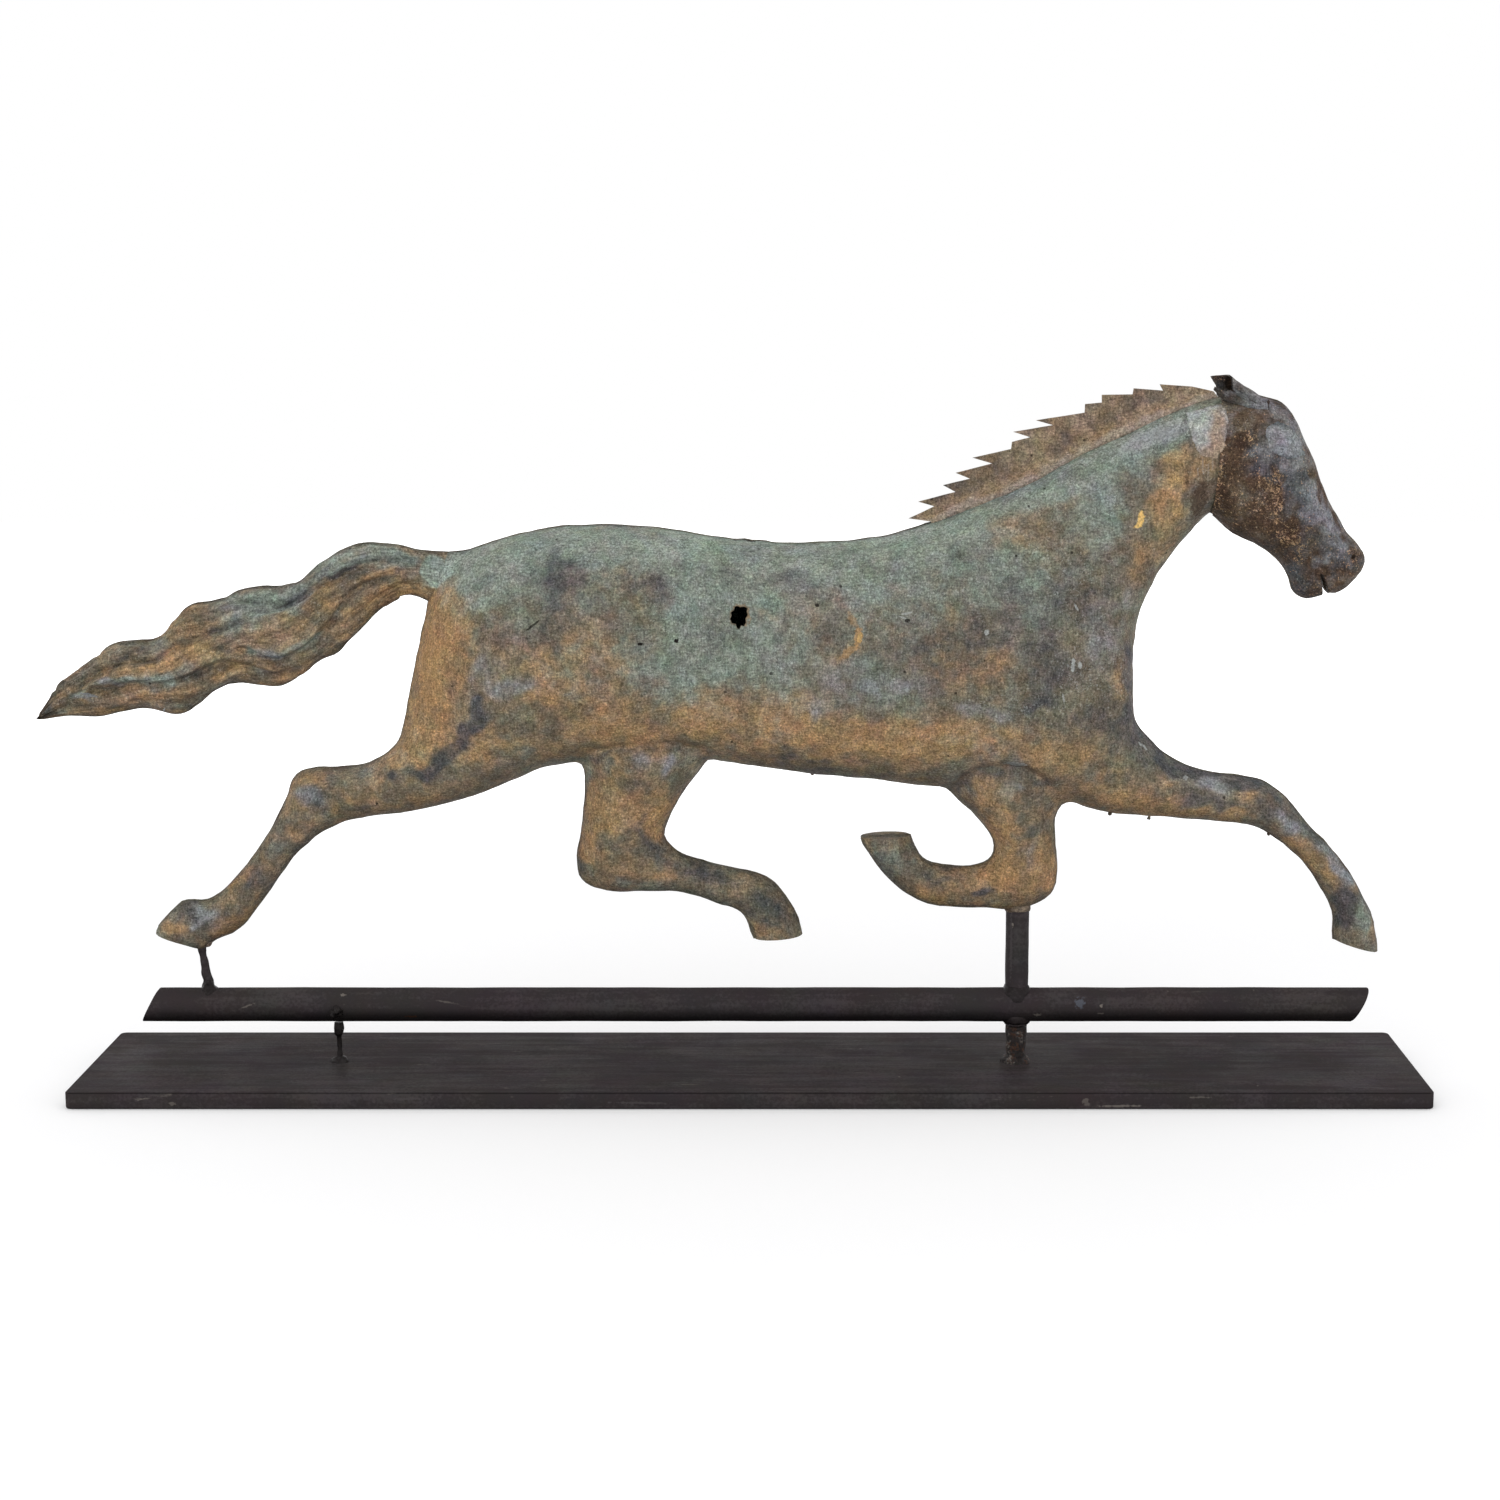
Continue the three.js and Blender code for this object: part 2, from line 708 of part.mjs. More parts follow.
function makeSteadyTack() {
  const angle = THREE.MathUtils.degToRad(STEADY_TACK_DEGREES);
  const geometry = new THREE.SphereGeometry(STEADY_TACK_RADIUS, SLIM_SIDES, SLIM_SIDES / 2);
  geometry.translate(pegX, -rodRadius * Math.cos(angle), rodAxisZ - rodRadius * Math.sin(angle));
  return solidOf(geometry).subtract(rodCore);
}

// Hoof prop: a thin rod that leans from the direction rod to the driving leg's hoof
const propLean = new THREE.Quaternion().setFromUnitVectors(
  new THREE.Vector3(0, 0, 1),
  propTop.clone().sub(propFoot).normalize(),
);

function onProp(geometry) {
  return solidOf(geometry.applyQuaternion(propLean).translate(...propFoot.toArray()));
}

function makePropCore(grow) {
  const length = propTop.distanceTo(propFoot) + HOOF_SOLDER.height;
  const radius = HOOF_PROP_DIAMETER / 2 + grow;
  return onProp(roundRod(radius, -rodRadius, length + grow, SLIM_SIDES));
}

function makeHoofPropWeld() {
  return onProp(bead(HOOF_PROP_DIAMETER / 2, PROP_BEAD, rodRadius, SLIM_SIDES)).subtract(rodCore);
}

function makeHoofSolder() {
  const geometry = new THREE.SphereGeometry(1, SLIM_SIDES, SLIM_SIDES / 2);
  geometry.scale(HOOF_SOLDER.length / 2, HOOF_SOLDER.width / 2, HOOF_SOLDER.height / 2);
  geometry.translate(...seamPoint(HOOF_SOLDER_PIXEL).toArray());
  return solidOf(geometry).subtract(drivingLegCore).subtract(makePropCore(FIT_GAP));
}

// Copper forms, each raised in two halves that meet in the seam plane

function scaled(shares, size) {
  return shares.map((share) => share * size);
}

function legWidths(shares) {
  return shares.map((share) => CANNON_HALF_WIDTH + share * (THIGH_HALF_WIDTH - CANNON_HALF_WIDTH));
}

const FULL_ROUNDNESS = 2.2; // 2 is an ellipse, more is squarer
const SLIM_ROUNDNESS = 2;

function fullForm(edgePixels, halfWidths) {
  return { edgePixels, halfWidths, sides: BODY_SIDES, roundness: FULL_ROUNDNESS };
}

function slimForm(edgePixels, halfWidths) {
  return { edgePixels, halfWidths, sides: LEG_SIDES, roundness: SLIM_ROUNDNESS };
}

const bodyForm = fullForm(bodyEdgePixels, scaled(bodyWidthShares, BODY_HALF_WIDTH));
const headForm = fullForm(headEdgePixels, scaled(headWidthShares, HEAD_HALF_WIDTH));
const tailForm = slimForm(tailEdgePixels, scaled(tailWidthShares, TAIL_HALF_WIDTH));
const drivingLegForm = slimForm(drivingLegEdgePixels, legWidths(drivingLegWidthShares));
const tuckedLegForm = slimForm(tuckedLegEdgePixels, legWidths(tuckedLegWidthShares));
const foldedLegForm = slimForm(foldedLegEdgePixels, legWidths(foldedLegWidthShares));
const reachingLegForm = slimForm(reachingLegEdgePixels, legWidths(reachingLegWidthShares));

// Each core is the room that a piece takes up, with the fitting gap round it
const rodCore = alongRod(roundRod(rodRadius + FIT_GAP, rodTailX - FIT_GAP, rodHoofX + FIT_GAP));
const bodyCore = swelling(bodyForm, FIT_GAP);
const headCore = swelling(headForm, FIT_GAP);
const drivingLegCore = swelling(drivingLegForm, FIT_GAP);
const foldedLegCore = swelling(foldedLegForm, FIT_GAP);
const postCore = makePostCore(FIT_GAP);

// A hollow form, open at the ends that `open` names, without what the cutters take away
function shell(shape, open, cutters) {
  const push = open.map((isOpen) => (isOpen ? CUT_OVERRUN : 0));
  const hollow = swelling(shape, 0).subtract(swelling(shape, -COPPER_WALL, push));
  return cutters.reduce((rest, cutter) => rest.subtract(cutter), hollow);
}

// Mane, a flat sheet whose lower edge is seated in the crest seam
function maneOutline(seat, endPixels) {
  const line = [...crestPixels];
  if (endPixels) {
    line.unshift(endPixels[0]);
    line.push(endPixels[1]);
  }
  const first = seamPoint(line[0]);
  const last = seamPoint(line[line.length - 1]);
  const inward = new THREE.Vector3(first.z - last.z, 0, last.x - first.x).normalize();
  return line.map((pixel) => seamPoint(pixel).addScaledVector(inward, seat));
}

function makeMane() {
  const outline = [...maneEdgePixels.map(seamPoint), ...maneOutline(MANE_SEAT)];
  return sheetOf(outline, -MANE_THICKNESS / 2, MANE_THICKNESS / 2);
}

function makeManeSlot() {
  const bottom = maneOutline(MANE_SEAT + FIT_GAP, maneSlotEndPixels);
  const top = maneOutline(-CUT_OVERRUN, maneSlotEndPixels).reverse();
  const half = MANE_THICKNESS / 2 + FIT_GAP;
  return sheetOf([...bottom, ...top], -half, half);
}

// A thin repair plate that follows the neck or the head on the right side
function makePatch(pixels, reach) {
  const grow = FIT_GAP + PATCH_THICKNESS;
  const outer = swelling(bodyForm, grow).add(swelling(headForm, grow));
  const points = pixels.map((pixel) => sidePoint(pixel, reach));
  const outline = sheetOf(points, -BODY_HALF_WIDTH, -MANE_THICKNESS);
  return outer.subtract(bodyCore.add(headCore)).intersect(outline);
}

// An ear is rolled from a sheet, closed where it meets the head and open at its back end
function makeEar(side) {
  const foot = sidePoint(EAR_BASE_PIXEL, EAR_SPACING / 2);
  const way = sidePoint(EAR_MOUTH_PIXEL, EAR_SPACING / 2).sub(foot).normalize();
  const outside = earProfileShares.map(([r, l]) => [r * EAR_RADIUS, l * EAR_LENGTH]);
  const inside = earProfileShares
    .slice(2)
    .reverse()
    .map(([r, l]) => [r * EAR_RADIUS - COPPER_WALL, l * EAR_LENGTH]);
  const floor = [0, earFloorShare * EAR_LENGTH];
  const geometry = turned([...outside, ...inside, floor], SLIM_SIDES);
  geometry.applyQuaternion(new THREE.Quaternion().setFromUnitVectors(new THREE.Vector3(0, 0, 1), way));
  geometry.translate(foot.x, (side * EAR_SPACING) / 2, foot.z);
  return solidOf(geometry).subtract(headCore).subtract(bodyCore);
}

// Scene graph

const copper = new THREE.MeshStandardMaterial({ color: 0x7f8670, roughness: 0.6, metalness: 0.6 });
const brownCopper = new THREE.MeshStandardMaterial({ color: 0x6a5b49, roughness: 0.55, metalness: 0.6 });
const solder = new THREE.MeshStandardMaterial({ color: 0x8f8f92, roughness: 0.6, metalness: 0.7 });
const blackSteel = new THREE.MeshStandardMaterial({ color: 0x2f2c2e, roughness: 0.45, metalness: 0.3 });
const rawIron = new THREE.MeshStandardMaterial({ color: 0x3d3734, roughness: 0.8, metalness: 0.6 });

const weathervane = new THREE.Group();
const stand = new THREE.Group();
const vane = new THREE.Group();
const horse = new THREE.Group();
weathervane.add(stand, vane);
vane.add(horse);

function put(group, name, solid, material) {
  const mesh = new THREE.Mesh(geometryOf(solid), material);
  mesh.name = name;
  group.add(mesh);
}

function putHalves(name, solid, material) {
  put(horse, `${name}_right_shell`, solid.intersect(rightHalf), material);
  put(horse, `${name}_left_shell`, solid.intersect(leftHalf), material);
}

put(stand, "base_plate", makeBasePlate(), blackSteel);
put(stand, "spindle", makeSpindle(), rawIron);
put(stand, "spindle_foot_weld", makeSpindleFootWeld(), rawIron);
put(stand, "pivot_ball", makeBall(ballRadius), rawIron);
put(stand, "steady_peg", makeSteadyPeg(), blackSteel);
put(stand, "steady_peg_weld", makeSteadyPegWeld(), blackSteel);

put(vane, "direction_rod", makeDirectionRod(), blackSteel);
put(vane, "socket_tube", makeSocketTube(), blackSteel);
put(vane, "socket_bush", makeSocketBush(), rawIron);
put(vane, "pivot_cap", makePivotCap(), rawIron);
put(vane, "post_weld_top", makePostWeldTop(), blackSteel);
put(vane, "post_weld_under", makePostWeldUnder(), blackSteel);
put(vane, "steady_tack", makeSteadyTack(), blackSteel);
put(vane, "hoof_prop", makePropCore(0).subtract(rodCore).subtract(drivingLegCore), blackSteel);
put(vane, "hoof_prop_weld", makeHoofPropWeld(), blackSteel);
put(vane, "hoof_solder", makeHoofSolder(), solder);

const kneeBead = bead(postRadius, KNEE_BEAD, KNEE_BEAD.rise).rotateX(Math.PI);
put(vane, "knee_collar", atSpindle(kneeBead, kneeZ).subtract(foldedLegCore), solder);

const flankHolePoints = flankHolePixels.map((pixel) => sidePoint(pixel, FLANK_HOLE_REACH));
const flankHole = sheetOf(flankHolePoints, -2 * BODY_HALF_WIDTH, -MANE_THICKNESS);
const bodyShell = shell(bodyForm, [false, true], [postCore, makeManeSlot(), flankHole]);
putHalves("body", bodyShell, copper);
putHalves("head", shell(headForm, [true, false], [bodyCore]), brownCopper);
putHalves("tail", shell(tailForm, [true, false], [bodyCore]), copper);
putHalves("hind_driving", shell(drivingLegForm, [true, false], [bodyCore]), copper);
putHalves("hind_tucked", shell(tuckedLegForm, [true, false], [bodyCore]), copper);
putHalves("fore_folded", shell(foldedLegForm, [true, false], [bodyCore, postCore]), copper);
putHalves("fore_reaching", shell(reachingLegForm, [true, false], [bodyCore, foldedLegCore]), copper);

put(horse, "mane_sheet", makeMane(), brownCopper);
put(horse, "ear_right", makeEar(-1), brownCopper);
put(horse, "ear_left", makeEar(1), brownCopper);
put(horse, "neck_patch", makePatch(neckPatchPixels, NECK_PATCH_REACH), solder);
put(horse, "forehead_patch", makePatch(foreheadPatchPixels, FOREHEAD_PATCH_REACH), solder);

export default weathervane;
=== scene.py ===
"""Horse weathervane: weathered copper half shells over a rod that turns on a black stand.

Lengths are in metres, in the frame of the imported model: +Z up, +X the way the horse runs, and its
right side faces -Y. Outlines and marks are read in picture pixels and placed in the plane of the
seam, or on the side of the horse that faces the viewer.
"""

import json
import math

import bmesh
import bpy
import numpy as np
from mathutils import Matrix, Vector, noise
from mathutils.bvhtree import BVHTree

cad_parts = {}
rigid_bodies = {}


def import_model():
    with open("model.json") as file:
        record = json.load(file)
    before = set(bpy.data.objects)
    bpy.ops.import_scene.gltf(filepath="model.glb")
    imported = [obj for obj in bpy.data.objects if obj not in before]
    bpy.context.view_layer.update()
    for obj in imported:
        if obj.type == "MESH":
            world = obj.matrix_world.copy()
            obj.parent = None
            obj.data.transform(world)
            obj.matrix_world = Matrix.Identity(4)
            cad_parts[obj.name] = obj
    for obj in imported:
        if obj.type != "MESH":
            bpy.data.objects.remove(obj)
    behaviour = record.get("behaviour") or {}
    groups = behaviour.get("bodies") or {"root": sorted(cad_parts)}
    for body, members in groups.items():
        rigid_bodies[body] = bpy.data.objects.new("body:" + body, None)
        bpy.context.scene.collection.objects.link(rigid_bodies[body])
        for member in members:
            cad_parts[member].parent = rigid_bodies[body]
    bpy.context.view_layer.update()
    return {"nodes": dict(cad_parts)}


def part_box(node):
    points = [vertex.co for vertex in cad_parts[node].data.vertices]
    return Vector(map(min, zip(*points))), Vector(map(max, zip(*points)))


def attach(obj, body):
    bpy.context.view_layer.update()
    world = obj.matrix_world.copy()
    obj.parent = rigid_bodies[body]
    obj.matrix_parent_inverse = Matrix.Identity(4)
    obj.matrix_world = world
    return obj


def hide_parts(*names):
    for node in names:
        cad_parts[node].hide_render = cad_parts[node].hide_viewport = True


bl_info = {
    "name": "Horse Weathervane",
    "version": (1, 0, 0),
    "blender": (4, 5, 0),
    "location": "View3D > Sidebar > Weathervane",
    "description": "Builds a weathered copper horse vane over a direction rod on a black stand",
    "category": "Add Mesh",
}

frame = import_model()

# The picture's view. Its eye stands in front of the seam plane and looks down a little.
VIEW_FOCAL_PIXELS = 2695.2
VIEW_CENTRE_PIXEL = (816.0, 750.0)
VIEW_SIDE_PIXELS = 1500.0
VIEW_PITCH = math.radians(9.397)
VIEW_EYE = (0.037, -1.5092, 0.4418)
SENSOR_WIDTH = 0.036

# Each row of an edge table is one cross-section: the two outline pixels that it joins, as x, y, x, y.
# The share of the half width of the same section follows, in the same order.
BODY_HALF_WIDTH = 0.040
HEAD_HALF_WIDTH = 0.022
THIGH_HALF_WIDTH = 0.027
CANNON_HALF_WIDTH = 0.0095
TAIL_HALF_WIDTH = 0.015
FLANK_HOLE_REACH = 0.036  # how far the copper round the hole stands out from the seam plane
BODY_EDGES = [
    (440, 552.5, 400, 734), (451, 551.5, 413, 748), (470, 550, 440, 763), (505, 538, 475, 780),
    (545, 528, 510, 781), (590, 524.5, 548, 766), (640, 526, 620, 758), (700, 534, 690, 757),
    (760, 541.5, 756, 764.5), (820, 542.7, 818, 773.5), (880, 537, 885, 779), (920, 526, 940, 786.5),
    (945, 517, 1000, 790), (968, 508, 1052, 799), (992, 498, 1092, 799), (1016, 488, 1122, 778),
    (1040, 476.5, 1134, 742), (1064, 463, 1133, 696), (1090, 448.5, 1131.5, 645), (1118, 436, 1140, 606),
    (1148, 422, 1158, 571), (1182, 407, 1183, 538), (1218, 397, 1209, 512),
]
BODY_WIDTH_SHARES = [
    0.1, 0.42, 0.66, 0.85, 0.95, 1, 0.99, 0.95, 0.94, 0.97, 1, 1, 0.99, 0.96, 0.91, 0.85, 0.78, 0.71, 0.65,
    0.6, 0.56, 0.53, 0.52,
]
HEAD_EDGES = [
    (1218.5, 396.9, 1209.5, 512.4), (1245, 393.5, 1228, 528), (1268, 398, 1246, 538),
    (1288, 409, 1260, 545), (1300, 432, 1272, 554), (1312, 458, 1283, 566), (1321, 484, 1289, 578),
    (1332, 508, 1291, 587), (1346, 531, 1296, 593), (1358, 546, 1306, 597.5), (1364, 558, 1318, 595.5),
    (1360, 570, 1327, 593), (1350, 582, 1337, 592.6),
]
HEAD_WIDTH_SHARES = [0.95, 1, 1, 1, 0.97, 0.9, 0.8, 0.7, 0.64, 0.6, 0.55, 0.42, 0.2]
TAIL_EDGES = [
    (450, 552, 440, 606), (421, 550.5, 413, 595), (399, 545.5, 393, 600), (376, 543, 374, 614),
    (357, 544, 354, 633), (337, 552, 337, 650), (317, 566, 319, 660), (300, 580, 300, 674),
    (281, 586, 281, 685), (261, 586.5, 261, 685), (243, 590, 239, 682), (225, 599.6, 219, 687),
    (206, 602, 202, 699), (191, 605, 188, 711), (178, 617, 175, 714), (166, 632, 159, 710),
    (152, 639, 143, 707), (124, 641, 122, 711), (107, 647, 101, 715.5), (90, 663, 80, 715),
    (74, 673, 66, 715.5), (60, 685, 53, 717.5), (45, 706, 42, 719), (37, 717.5, 36.3, 719.4),
]
TAIL_WIDTH_SHARES = [
    0.6, 0.62, 0.66, 0.74, 0.84, 0.92, 0.97, 1, 1, 1, 1, 1, 1, 1, 0.98, 0.94, 0.88, 0.8, 0.72, 0.6, 0.48,
    0.36, 0.2, 0.08,
]
DRIVING_EDGES = [
    (420, 690, 530, 770), (404, 728, 505, 783), (399, 741, 478, 794), (386, 753, 450, 803),
    (366, 765, 416, 811), (341, 766, 381, 814), (318, 767, 357, 817), (302, 771, 337, 824),
    (294, 780, 319, 834), (287, 797, 303, 846), (273, 825.5, 292, 856), (262, 844, 281, 871),
    (250, 862, 269, 889), (236, 876.5, 258, 905.5), (222, 891, 247, 920.5), (207, 900, 234, 931.5),
    (194, 898.5, 216, 939), (182, 900, 200, 944), (169, 915, 181, 939.5), (159, 930, 165, 933.5),
]
DRIVING_SHARES = [
    1, 0.9, 0.75, 0.6, 0.45, 0.34, 0.26, 0.2, 0.17, 0.13, 0.06, 0.03, 0.02, 0.05, 0.1, 0.04, 0.08, 0.12,
    0.06, -0.2,
]
TUCKED_EDGES = [
    (582, 735, 722, 735), (584, 766, 706, 761), (586, 790, 686, 783), (584, 812, 673, 806),
    (581, 835, 665, 826), (577, 856, 664, 835), (580, 875, 667, 842), (594, 885.8, 674, 848.5),
    (615, 889.5, 682, 853), (641, 890.2, 693, 857), (668, 891, 706, 861), (692, 894.3, 721, 864.5),
    (716, 901, 737, 868), (735, 906.6, 754, 872), (745, 914, 771, 880), (750, 926, 785, 895),
    (753, 934, 796, 914), (755, 937, 802, 933.5),
]
TUCKED_SHARES = [
    1, 0.82, 0.62, 0.48, 0.36, 0.28, 0.22, 0.18, 0.1, 0.05, 0.02, 0, 0.02, 0.08, 0.02, 0.06, 0.12, 0.14,
]
FOLDED_EDGES = [
    (952, 762, 1068, 766), (950, 790, 1062, 800), (973, 811, 1055, 817), (986, 826, 1055, 838),
    (993.5, 838, 1056.5, 857), (995, 848, 1057, 877), (992, 857, 1053, 890), (985, 862, 1041, 900),
    (973, 865, 1022, 906.3), (958, 865.7, 990, 907), (945, 865, 960, 906), (934, 863, 934, 904.5),
    (923, 858.5, 911, 896), (916, 850.5, 893, 881), (911, 840, 878, 864), (906, 835, 868, 846),
    (902.9, 833.9, 864.3, 836),
]
FOLDED_SHARES = [
    0.85, 0.66, 0.5, 0.4, 0.34, 0.3, 0.28, 0.24, 0.17, 0.1, 0.04, 0.02, 0.06, 0.03, 0.05, 0.1, 0.12,
]
REACHING_EDGES = [
    (1126, 712, 1050, 790), (1150, 738, 1086, 807), (1160, 750, 1112, 812), (1178, 761, 1141, 816),
    (1201, 769.6, 1173, 818), (1224, 773, 1205, 819.5), (1247, 776.5, 1234, 822), (1262, 781, 1253, 825),
    (1275, 790, 1265, 829.5), (1289, 804.5, 1276, 837), (1304, 821.7, 1288, 846.5),
    (1322.5, 840, 1302, 861), (1341, 860.7, 1315, 878.5), (1354.5, 881.4, 1325.5, 896.5),
    (1366, 904.3, 1332, 910.5), (1372, 920.5, 1332.8, 923), (1374, 936.5, 1333, 937.5),
    (1375.2, 949.1, 1340, 941.5),
]
REACHING_SHARES = [
    0.8, 0.7, 0.62, 0.52, 0.42, 0.34, 0.28, 0.24, 0.2, 0.14, 0.06, 0.02, 0.02, 0.08, 0.02, 0.06, 0.12, 0.14,
]
MANE_EDGE = [
    (931, 521), (908.7, 518.4), (934.5, 506.4), (918.3, 501.6), (955.6, 492), (943.1, 485.3),
    (969.9, 478.6), (955.6, 472.9), (991.9, 463.3), (972.4, 457.6), (1011.1, 449), (1012, 441.9),
    (1029.8, 437.1), (1013, 431.7), (1052.8, 425.1), (1035.9, 420.3), (1084.7, 412.6), (1085.1, 404),
    (1101.9, 402.5), (1101.9, 394.8), (1132.9, 394.4), (1133.9, 388.3), (1163.2, 390.6), (1159.9, 384.3),
    (1191.8, 386.4), (1212.9, 391.1),
]
NECK_PATCH = [
    (1186.4, 412.3), (1206, 406), (1222, 402.5), (1227, 410), (1228.5, 420), (1227.5, 433), (1225.5, 446),
    (1218, 457.5), (1208, 458), (1199, 455), (1193.6, 443), (1189.9, 430.4),
]
FOREHEAD_PATCH = [
    (1264, 432), (1267.5, 425.6), (1277.9, 421), (1294, 426), (1301.5, 441), (1306, 456), (1289.5, 460),
    (1276, 455), (1268.4, 447.7),
]

# Small pieces and marks, in picture pixels
CREST_LINE = [
    (1219, 396), (1178, 408.5), (1138, 427), (1096, 445.5), (1045, 474), (1010, 490.5), (975, 505),
    (926, 525),
]
FOLD_CREASE = [(951, 791), (965, 780), (981, 772.5), (1005, 768), (1026, 771.5), (1043, 781), (1058, 799)]
TUCK_CREASE = [(572, 763), (592, 753.5), (630, 748), (672, 746.5), (702, 752), (716, 761)]
THIGH_CREASE = [(508, 700), (486, 730), (458, 757), (424, 782)]
# Locks of the tail: the grooves between them
TAIL_GROOVES = [
    [(425, 557), (411, 559), (371, 559), (344, 571), (329, 579), (304, 594), (285, 604), (262, 611)],
    [(405, 567), (392, 577), (364, 586), (348, 597), (339, 610), (325, 632), (302, 650), (276, 661),
    (256, 655), (235, 648), (205, 650)],
    [(330, 566), (300, 594), (279, 607), (253, 603), (236, 600), (222, 606)],
    [(262, 622), (240, 622), (222, 631), (196, 640), (170, 648), (155, 660), (135, 662), (118, 660)],
    [(226, 668), (196, 676), (165, 684), (150, 683), (127, 683), (106, 690), (92, 690), (72, 700)],
    [(300, 668), (275, 675), (250, 668), (225, 664), (204, 668), (186, 680)],
    [(140, 648), (120, 662), (96, 672), (80, 688), (60, 704)],
]


def seam_point(x, y, reach=0.0):
    """The place that a pixel shows, `reach` in front of the seam plane."""
    across = (x - VIEW_CENTRE_PIXEL[0]) / VIEW_FOCAL_PIXELS
    up = (VIEW_CENTRE_PIXEL[1] - y) / VIEW_FOCAL_PIXELS
    ray = Vector((across, math.cos(VIEW_PITCH) + up * math.sin(VIEW_PITCH),
                  up * math.cos(VIEW_PITCH) - math.sin(VIEW_PITCH)))
    eye = Vector(VIEW_EYE)
    return eye + ray * ((-reach - eye.y) / ray.y)


def picture_of(places):
    """The pixel of each place. The left side counts as if it were the right one."""
    away = places - np.array(VIEW_EYE)
    away[:, 1] = -np.abs(places[:, 1]) - VIEW_EYE[1]
    depth = away[:, 1] * math.cos(VIEW_PITCH) - away[:, 2] * math.sin(VIEW_PITCH)
    up = away[:, 1] * math.sin(VIEW_PITCH) + away[:, 2] * math.cos(VIEW_PITCH)
    return np.column_stack((
        VIEW_CENTRE_PIXEL[0] + VIEW_FOCAL_PIXELS * away[:, 0] / depth,
        VIEW_CENTRE_PIXEL[1] - VIEW_FOCAL_PIXELS * up / depth,
    ))


def linear(red, green, blue):
    """A colour given as 0 to 255, in the scene's own linear values."""
    return tuple((c / 255 / 12.92) if c < 11 else ((c / 255 + 0.055) / 1.055) ** 2.4
                 for c in (red, green, blue))


def colour(name, description, *levels):
    return bpy.props.FloatVectorProperty(name=name, description=description, subtype="COLOR",
                                         min=0, max=1, default=linear(*levels))


def length(name, description, metres):
    return bpy.props.FloatProperty(name=name, description=description, unit="LENGTH",
                                   precision=4, default=metres)


def power(name, description, amount):
    return bpy.props.FloatProperty(name=name, description=description, min=0, default=amount)


class VaneSizes(bpy.types.PropertyGroup):
    copper_wall: length("Copper wall", "Thickness of the copper sheet", 0.0009)
    skin_step: length("Skin step", "Spacing of the points on the body's skin", 0.0020)
    head_step: length("Head step", "Spacing of the points on the head's skin", 0.0009)
    hammer_depth: length("Hammer depth", "Unevenness of the raised sheet", 0.0005)
    crease_depth: length("Crease depth", "Depth of the creases over the tucked legs", 0.0030)
    lock_depth: length("Lock depth", "Depth of the grooves between the tail's locks", 0.0027)
    seam_bead: length("Seam bead", "Radius of the solder along the seam", 0.00055)
    mane_thickness: length("Mane thickness", "Thickness of the mane's sheet", 0.0011)
    mane_flare: length("Mane flare", "How far solder spreads at the foot of the mane", 0.0042)
    ear_wall: length("Ear wall", "Thickness of the ears' sheet", 0.0007)
    ear_spacing: length("Ear spacing", "From one ear to the other, between their middles", 0.0170)
    patch_rise: length("Patch rise", "How far the repair patches stand proud", 0.0006)


class CopperColours(bpy.types.PropertyGroup):
    brown: colour("Brown", "Bare weathered copper", 116, 103, 87)
    olive: colour("Olive", "Thin grey-green coat over the brown", 126, 123, 108)
    tan: colour("Tan", "Worn gilding", 149, 126, 96)
    gold: colour("Gold", "What is left of the gilding", 188, 148, 101)
    verdigris: colour("Verdigris", "Green coat", 124, 133, 123)
    moss: colour("Moss", "Palest parts of the green coat", 156, 165, 154)
    bloom: colour("Bloom", "Fresh green where solder has run", 172, 192, 178)
    # Slate and plum also serve as painted shade in creases, in grooves and at the ears' mouths.
    slate: colour("Slate", "Dark blue-grey deposit", 77, 81, 84)
    plum: colour("Plum", "Dark purple-grey stain", 100, 92, 89)
    # Mist and silver also serve as painted highlights on the hock, the hoof and lit ridges.
    mist: colour("Mist", "Thin blue-grey bloom", 138, 143, 147)
    silver: colour("Silver", "Pale specks, bruises and streaks", 186, 190, 188)
    pit: colour("Pit", "Dark pits", 30, 26, 23)
    flake: colour("Flake", "Bright leaf of gold", 240, 200, 126)
    umber: colour("Umber", "Dark brown of the head", 72, 56, 44)
    russet: colour("Russet", "Lighter brown of the head", 102, 82, 66)
    ember: colour("Ember", "Pinkish orange specks on the head", 204, 164, 128)
    bark: colour("Bark", "Brown of the mane", 166, 147, 126)
    crest: colour("Crest", "Pale solder at the foot of the mane", 164, 149, 133)
    lead: colour("Lead", "Wiped solder of the repairs", 146, 145, 147)


class StandColours(bpy.types.PropertyGroup):
    black: colour("Black", "Black paint", 60, 55, 56)
    tar: colour("Tar", "Thick paint on the welds", 40, 36, 36)
    # Also paints the highlight streak down the post.
    worn_and_highlight: colour("Worn", "Paint rubbed thin", 80, 75, 76)
    scuff: colour("Scuff", "Pale scuffs and chips", 150, 142, 134)
    rust: colour("Rust", "Small rust spots", 92, 62, 44)
    steel: colour("Steel", "Blue-grey where the paint is gone", 92, 95, 104)
    iron: colour("Iron", "Rough iron of the spindle", 46, 41, 38)


class StageSettings(bpy.types.PropertyGroup):
    floor: colour("Floor", "Paper that the stand is on", 240, 240, 241)
    floor_glow: power("Floor glow", "White that the camera sees in the floor", 0.20)
    key_power: power("Key", "Power of the large front lamp, in watts", 10.0)
    fill_power: power("Fill", "Power of each side lamp, in watts", 3.0)
    top_power: power("Top", "Power of the overhead lamp, in watts", 10.0)
    world: power("World", "Light from all around", 0.75)


def sizes():
    return bpy.context.scene.vane_sizes


# Swelling forms: rounded cross-sections that stand across the seam plane


